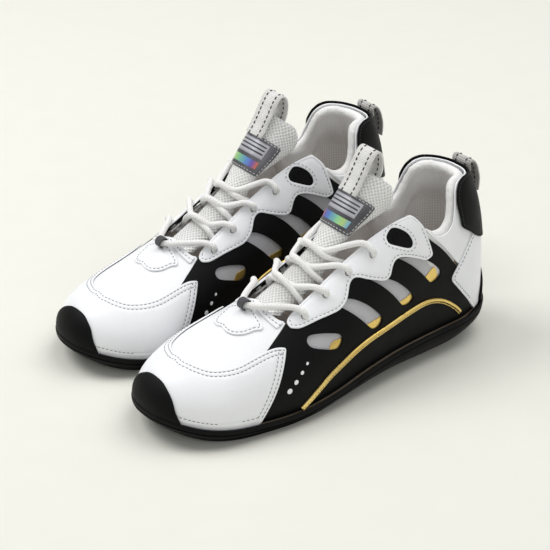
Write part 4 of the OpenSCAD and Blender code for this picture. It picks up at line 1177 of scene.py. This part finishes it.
def tonguePoint(v, a, o):  # station v, angle a across the arch in degrees, lifted by o
    v, a, o = np.broadcast_arrays(*[np.asarray(x, float) for x in (v, a, o)])
    g = tongueAt(v)
    dt = tongueAt(np.minimum(v + 0.2, 10)) - tongueAt(np.maximum(v - 0.2, 0))
    t = unit(dt[..., :2])
    e = 2 / g[..., 4]
    r = np.radians(np.abs(a))
    p = (g[..., 3] + o) * (1 - np.cos(r) ** e) - o
    return np.stack([fromTable("ridgeOffset", g[..., 0]) + np.sign(a) * (g[..., 2] + o) * np.sin(r) ** e,
                     g[..., 0] + t[..., 1] * p, g[..., 1] - t[..., 0] * p], -1)


def tonguePad():
    vs = np.concatenate([np.linspace(0, 9.7, 62), [9.8, 9.89, 9.96, 10.0]])
    thin = np.concatenate([np.ones(62), [0.93, 0.8, 0.58, 0.22]])
    n = 44
    part = np.sin(np.linspace(-np.pi / 2, np.pi / 2, n))
    half = np.sqrt(np.maximum(0, 1 - (np.abs(part) / 1.016) ** 9))
    rings = []
    for v, h in zip(vs, thin):
        deep = np.interp(v, *tongueShape["depth"])
        a = part * np.interp(v, *tongueShape["span"])
        top = tonguePoint(v, a, -deep / 2 + deep / 2 * half * h)
        low = tonguePoint(v, a, -deep / 2 - deep / 2 * half * h)
        rings.append(np.vstack([top, low[::-1]]))
    rings = np.array(rings)
    step = np.linalg.norm(np.diff(rings[:, :n], axis=1), axis=2)
    arc = np.concatenate([np.zeros((len(vs), 1)), np.cumsum(step, axis=1)], 1)
    arc = arc - arc[:, -1:] / 2
    along = lengthsAlong(rings[:, n // 2])
    uv = np.stack([np.hstack([arc, arc[:, ::-1]]), np.broadcast_to(along[:, None], (len(vs), 2 * n))], -1)
    return facingOut(tubeOf(rings, uv=uv / 1000))


def carryUv(mesh, source):  # pattern coordinates of the nearest place on the shape it was made from
    points = [Vector(p) for p in source["world"]]
    faces = [f for f in source["faces"] if len(f) <= 4]
    tree = BVHTree.FromPolygons(points, faces)
    uv = np.zeros((len(mesh.vertices), 2))
    for i, v in enumerate(mesh.vertices):
        place, _, face, _ = tree.find_nearest(v.co)
        w = poly_3d_calc([points[k] for k in faces[face]], place)
        uv[i] = np.dot(w, source["uv"][faces[face]])
    setUv(mesh, uv)
    return uv


def puffed(name, shape, material, voxel, cap, channel=None):
    # swells a padded piece with cloth pressure, caps how far it moves, smooths it once
    obj = makeObject(name, shape, 1, material)
    source = dict(shape, world=toWorld(shape["points"], 1).tolist())
    scene = bpy.context.scene
    scene.frame_set(1)
    remesh = obj.modifiers.new("remesh", "REMESH")
    remesh.mode = "VOXEL"
    remesh.voxel_size = voxel
    start = applied(obj)
    cloth = obj.modifiers.new("cloth", "CLOTH")
    s = cloth.settings
    s.use_pressure = True
    s.uniform_pressure_force = padding["pressure"]
    s.effector_weights.gravity = 0
    s.quality = 5
    s.tension_stiffness = s.compression_stiffness = 30
    for i in range(1, padding["frames"] + 1):
        scene.frame_set(i)
        obj.evaluated_get(bpy.context.evaluated_depsgraph_get())
    end = applied(obj)
    move = end - start
    size = np.linalg.norm(move, axis=1, keepdims=True)
    final = start + move * np.minimum(1, cap / (size + 1e-9))
    writePoints(obj.data, final)
    scene.frame_set(1)
    sub = obj.modifiers.new("smooth", "SUBSURF")
    sub.levels = sub.render_levels = 1
    applied(obj)
    uv = carryUv(obj.data, source)
    if channel is not None:
        pressed = readPoints(obj.data, "normal") * channel(uv)[:, None]
        writePoints(obj.data, readPoints(obj.data) - pressed)
    obj.data.shade_smooth()
    return obj


def applied(obj):  # bakes the modifiers into the mesh and returns its points
    dg = bpy.context.evaluated_depsgraph_get()
    done = bpy.data.meshes.new_from_object(obj.evaluated_get(dg), depsgraph=dg)
    old = obj.data
    for m in list(obj.modifiers):
        obj.modifiers.remove(m)
    obj.data = done
    bpy.data.meshes.remove(old)
    return readPoints(done)


def otherShoe(obj, name):  # the same padded piece mirrored to the right shoe
    mesh = obj.data.copy()
    writePoints(mesh, readPoints(mesh) * [-1, 1, 1] + [0, pairLayout["setback"] / 1000, 0])
    mesh.flip_normals()
    mesh.update()
    return addObject(name, mesh)


def padPair(name, shape, material, nodes, part, voxel, cap, channel=None):
    left = puffed("left" + name, shape, material, voxel, cap, channel)
    for word, obj in (("left", left), ("right", otherShoe(left, "right" + name))):
        giveBody(obj, word, part, nodes)


makePair("Lining", liningShape(), finish["lining"], ["lining"], sharp=80)
padPair("CollarPad", collarShape(), finish["lining"], ["collar_foam"], "shoe",
        padding["voxel"], padding["cap"])


def tongueChannel(uv):
    d = np.abs(np.abs(uv[:, 0]) - tongueShape["seamAt"])
    edge = np.clip((0.105 - uv[:, 1]) / 0.004, 0, 1)
    return tongueShape["seamDepth"] * np.exp(-(d / 0.0014) ** 2) * edge


padPair("Tongue", tonguePad(), finish["airMesh"], ["tongue"], "tongue",
        padding["voxel"], padding["cap"], tongueChannel)
print("padding made")

# label and webbing loops


labelPlace = {"rows": (6.0, 7.65), "angles": (74, 66), "corner": 0.86, "rim": 0.06, "lift": 0.75,
              "under": -0.4, "seamLift": 1.5}


def labelAngle(v):
    return np.interp(v, labelPlace["rows"], labelPlace["angles"])


def labelShape(c):
    v, q = np.meshgrid(np.linspace(*c["rows"], 30), np.linspace(-1, 1, 50), indexing="ij")
    mid, half = np.mean(c["rows"]), np.ptp(c["rows"]) / 2
    uv = np.stack([q, (v - mid) / half / 2 + 0.5], -1)
    sideways, lengthways = np.abs(q), np.abs(v - mid) / half
    corner = sum((np.maximum(0, x - c["corner"]) / (1 - c["corner"])) ** 2 for x in (sideways, lengthways))
    pull = 1 - 0.07 * np.clip(corner - 0.7, 0, 1.3)
    v = mid + (v - mid) * pull
    a = labelAngle(v) * q * pull
    edge = np.minimum(1 - sideways, 1 - lengthways)
    lift = c["lift"] * (1 + np.sqrt(np.clip(edge / c["rim"], 0, 1)))
    return facingOut(shellOf(tonguePoint(v, a, lift), tonguePoint(v, a, np.full(v.shape, c["under"])), uv))


makePair("TongueLabel", labelShape(labelPlace), finish["label"], ["tongue_label"],
         part="tongue", sharp=60)
rows = labelPlace["rows"]
border = np.array([[rows[0] + 0.1, q] for q in np.linspace(-0.9, 0.9, 34)]
                  + [[v, 0.9] for v in np.linspace(rows[0] + 0.14, rows[1] - 0.12, 24)]
                  + [[rows[1] - 0.1, q] for q in np.linspace(0.9, -0.9, 34)]
                  + [[v, -0.9] for v in np.linspace(rows[1] - 0.12, rows[0] + 0.1, 24)])
seams["tongueGrey"].append(tonguePoint(border[:, 0], border[:, 1] * labelAngle(border[:, 0]),
                                       np.full(len(border), labelPlace["seamLift"])))

webbing = {"width": 17.0, "thick": 1.5, "pitch": 0.00128, "seamAt": 4.6,
           "heel": [[271.6, 98], [272.2, 104], [271.4, 110], [269.4, 116], [266.4, 120.4], [263.4, 121],
                    [262.4, 118.4], [263.4, 115]],
           "tongue": [[163.3, 125.2], [166.8, 129.6], [170.4, 135.4], [174, 141.8], [177.4, 147.4],
                      [180.4, 150], [183.4, 149.6], [185.2, 146.4], [185.6, 141.6], [185, 136.6],
                      [182.8, 132], [179.6, 127.4]]}


def bandShape(line, width, thick, n=10):
    t = unit(np.gradient(line, axis=0))
    v = np.stack([-t[:, 1], t[:, 0]], -1)
    rings = []
    for i, c in enumerate(line):
        ring = []
        for k in range(2 * n):
            a = math.pi * 2 * (k + 0.5) / (2 * n)
            x = width / 2 * np.sign(math.cos(a)) * abs(math.cos(a)) ** 0.25
            z = thick / 2 * np.sign(math.sin(a)) * abs(math.sin(a)) ** 0.5
            ring.append([x, c[0] + v[i][0] * z, c[1] + v[i][1] * z])
        rings.append(ring)
    rings = np.array(rings)
    s = lengthsAlong(line)
    uv = np.stack(np.broadcast_arrays(s[:, None], rings[:, :, 0]), -1) / 1000
    return facingOut(tubeOf(rings, uv=uv))


def loopPieces(key, node, part, material, slot, thread):
    line = resample(smoothLine(webbing[key], 8), 0.8)
    makePair(key.capitalize() + "Loop", bandShape(line, webbing["width"], webbing["thick"] - 0.5),
             material, [node], part=part)
    path = np.stack([0 * line[:, 0], line[:, 0], line[:, 1]], -1)
    growPair(key.capitalize() + "LoopRibs", [path], "rib", slot, part=part, Pitch=webbing["pitch"],
             Width=(webbing["width"] - 0.4) / 1000, Radius=webbing["thick"] / 2000, Material=material)
    t = unit(np.gradient(line, axis=0))
    v = np.stack([0 * t[:, 0], -t[:, 1], t[:, 0]], -1)
    for x in (-webbing["seamAt"], webbing["seamAt"]):
        for face in (-1, 1):
            seams[thread].append(path + [x, 0, 0] + v * face * (webbing["thick"] / 2 + 0.1))


loopPieces("heel", "heel_loop", "shoe", finish["greyWebbing"], "grey_webbing", "heelBlack")
loopPieces("tongue", "tongue_loop", "tongue", finish["whiteWebbing"], "white_webbing", "tongueBlack")

# lace

lace = {"diameter": 4.2, "sides": 14, "crossings": [2.72, 3.75, 4.85], "over": 2.7, "under": -3.5,
        "brow": 2.6, "middle": 0.9, "slope": (1.5, 2.4), "rise": (1.7, 2.5), "foot": (80, 0, 3.0),
        "end": (170, 0.36, -8)}


def lacePoint(u, f, lift):
    return skinPoint(np.array([u]), np.array([f]), np.array([lift]))[0]


def laceRoute(c):
    r = c["diameter"] / 2

    def under(n, s):
        return lacePoint(holes[n][0], s * holes[n][1], c["under"] - r)

    def over(n, s):
        return lacePoint(holes[n][0], s * holes[n][1], c["over"] + r)

    def brow(n, s):
        return lacePoint(holes[n][0] - 4, s * 0.262, c["brow"] + r)

    def brim(n, s):
        return lacePoint(holes[n][0] + 4, s * (0.315 if s > 0 else 0.335), c["under"] - r)

    def middle(n, s):
        return tonguePoint(c["crossings"][n], 0.01, r + c["middle"] + (0 if s > 0 else 2 * r + 0.2))

    def slope(n, s):
        return tonguePoint(c["crossings"][n] - 0.1, s * 48, r + c["slope"][s < 0])

    def rise(n, s):
        return tonguePoint(c["crossings"][n] + 0.12, s * 36, r + c["rise"][s < 0])

    def crossing(n, s):
        return [under(n + 1, s), over(n + 1, s), brow(n + 1, s), rise(n, s), middle(n, s), slope(n, -s),
                brim(n, -s)]

    def half(s):
        u, f, depth = c["end"]
        return ([lacePoint(u, s * f, depth)] + crossing(2, s) + crossing(1, -s) + crossing(0, s)
                + [under(0, -s), over(0, -s), brow(0, -s)])

    u, f, lift = c["foot"]
    line = np.array(half(1) + [lacePoint(u, f, lift + r)] + half(-1)[::-1])
    line = resample(smoothLine(line, 10), 1.0)
    for _ in range(3):
        line[1:-1] = (line[:-2] + 2 * line[1:-1] + line[2:]) / 4
    return line


def cordShape(line, diameter, sides):
    t = unit(np.gradient(line, axis=0))
    x = unit(np.cross(t[0], [0, 0, 1]))
    rings = []
    a = -2 * np.pi * np.arange(sides) / sides
    for p, d in zip(line, t):
        x = unit(x - np.dot(x, d) * d)
        y = np.cross(d, x)
        rings.append(p + diameter / 2 * (np.cos(a)[:, None] * x + np.sin(a)[:, None] * y))
    s = lengthsAlong(line) / 1000
    uv = np.stack(np.broadcast_arrays(s[:, None], 1 - np.abs(2 * np.arange(sides) / sides - 1)), -1)
    return facingOut(tubeOf(np.array(rings), uv=uv))


makePair("Lace", cordShape(laceRoute(lace), lace["diameter"], lace["sides"]), finish["lace"],
         ["lace"], sharp=80)

keeper = {"clearance": 1.3, "opening": 140, "width": 6, "thick": 1.0}


def keeperShape(c):
    u, f, lift = lace["foot"]
    middle = lacePoint(u, f, lift + lace["diameter"] / 2)
    n = outward(np.array([float(u)]), np.array([float(f)]))[0]
    forward = unit(np.array([0, n[2], -n[1]]))
    r = lace["diameter"] / 2 + c["clearance"]
    a = np.radians(np.linspace(-c["opening"], c["opening"], 40))[:, None]
    line = middle[1:] + r * (np.cos(a) * n[1:] + np.sin(a) * forward[1:])
    shape = bandShape(line, c["width"], c["thick"], 6)
    shape["points"][:, 0] += middle[0]
    return shape


makePair("LaceKeeper", keeperShape(keeper), finish["keeperTape"], ["lace_keeper"])

# stitching

stitch = {"white": ("greyThread", "shoe", 0.0028, 0.0021, 0.0006),
          "grey": ("greyThread", "shoe", 0.0029, 0.0019, 0.0005),
          "black": ("blackThread", "shoe", 0.0024, 0.0019, 0.0008),
          "tongueGrey": ("whiteThread", "tongue", 0.0026, 0.0019, 0.0005),
          "tongueBlack": ("blackThread", "tongue", 0.0034, 0.0025, 0.0009),
          "heelBlack": ("blackThread", "shoe", 0.0034, 0.0027, 0.0009)}
for key, (thread, part, pitch, length, thickness) in stitch.items():
    growPair("Stitch" + key[0].upper() + key[1:], seams[key], "stitch",
             {"shoe": "white_upper", "tongue": "mesh"}[part], part=part, Pitch=pitch, Length=length,
             Thickness=thickness, Wander=0.05, Seed=5, Material=finish[thread])

for word in sides:  # pieces that stay as the frame has them, inside the shoe
    for node, name in (("midsole", "foam"), ("insole_board", "board"), ("heel_counter", "board")):
        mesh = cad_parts[word + "_" + node].data
        mesh.materials.clear()
        mesh.materials.append(finish[name])
print("details made")

# floor, light and world

studio = {"floor": (0.78, 0.78, 0.715), "sky": (1.0, 1.0, 0.99), "skyStrength": 0.44,
          "lights": {"key": ((-0.9, -0.7, 1.7), 1.1, 21), "top": ((0.1, 0.7, 1.9), 1.4, 17),
                     "side": ((1.9, -0.6, 1.0), 1.2, 4)}}


def makeStudio(c):
    m, tree, shader = newMaterial("floorPaper")
    f = useGroup(tree, "fuzz", Scale=700.0)
    shade = tuple(0.985 * x for x in c["floor"])
    feed(tree, shader.inputs["Base Color"], mixColour(tree, f.outputs["Tone"], shade, c["floor"]))
    shader.inputs["Roughness"].default_value = 0.9
    bpy.ops.mesh.primitive_plane_add(size=12, location=(0, 0, 0))
    floor = bpy.context.active_object
    floor.name = "floor"
    floor.data.materials.append(m)
    world = bpy.data.worlds.new("studioWorld")
    world.use_nodes = True
    background = next(n for n in world.node_tree.nodes if n.type == "BACKGROUND")
    background.inputs[0].default_value = c["sky"] + (1,)
    background.inputs[1].default_value = c["skyStrength"]
    bpy.context.scene.world = world
    bpy.context.scene.view_settings.view_transform = "Standard"
    for name, (place, size, power) in c["lights"].items():
        data = bpy.data.lights.new(name, "AREA")
        data.size = size
        data.energy = power
        light = addObject(name, data)
        light.location = place
        light.rotation_euler = (Vector((0, 0, 0.03)) - Vector(place)).to_track_quat("-Z", "Y").to_euler()


makeStudio(studio)

print("done")
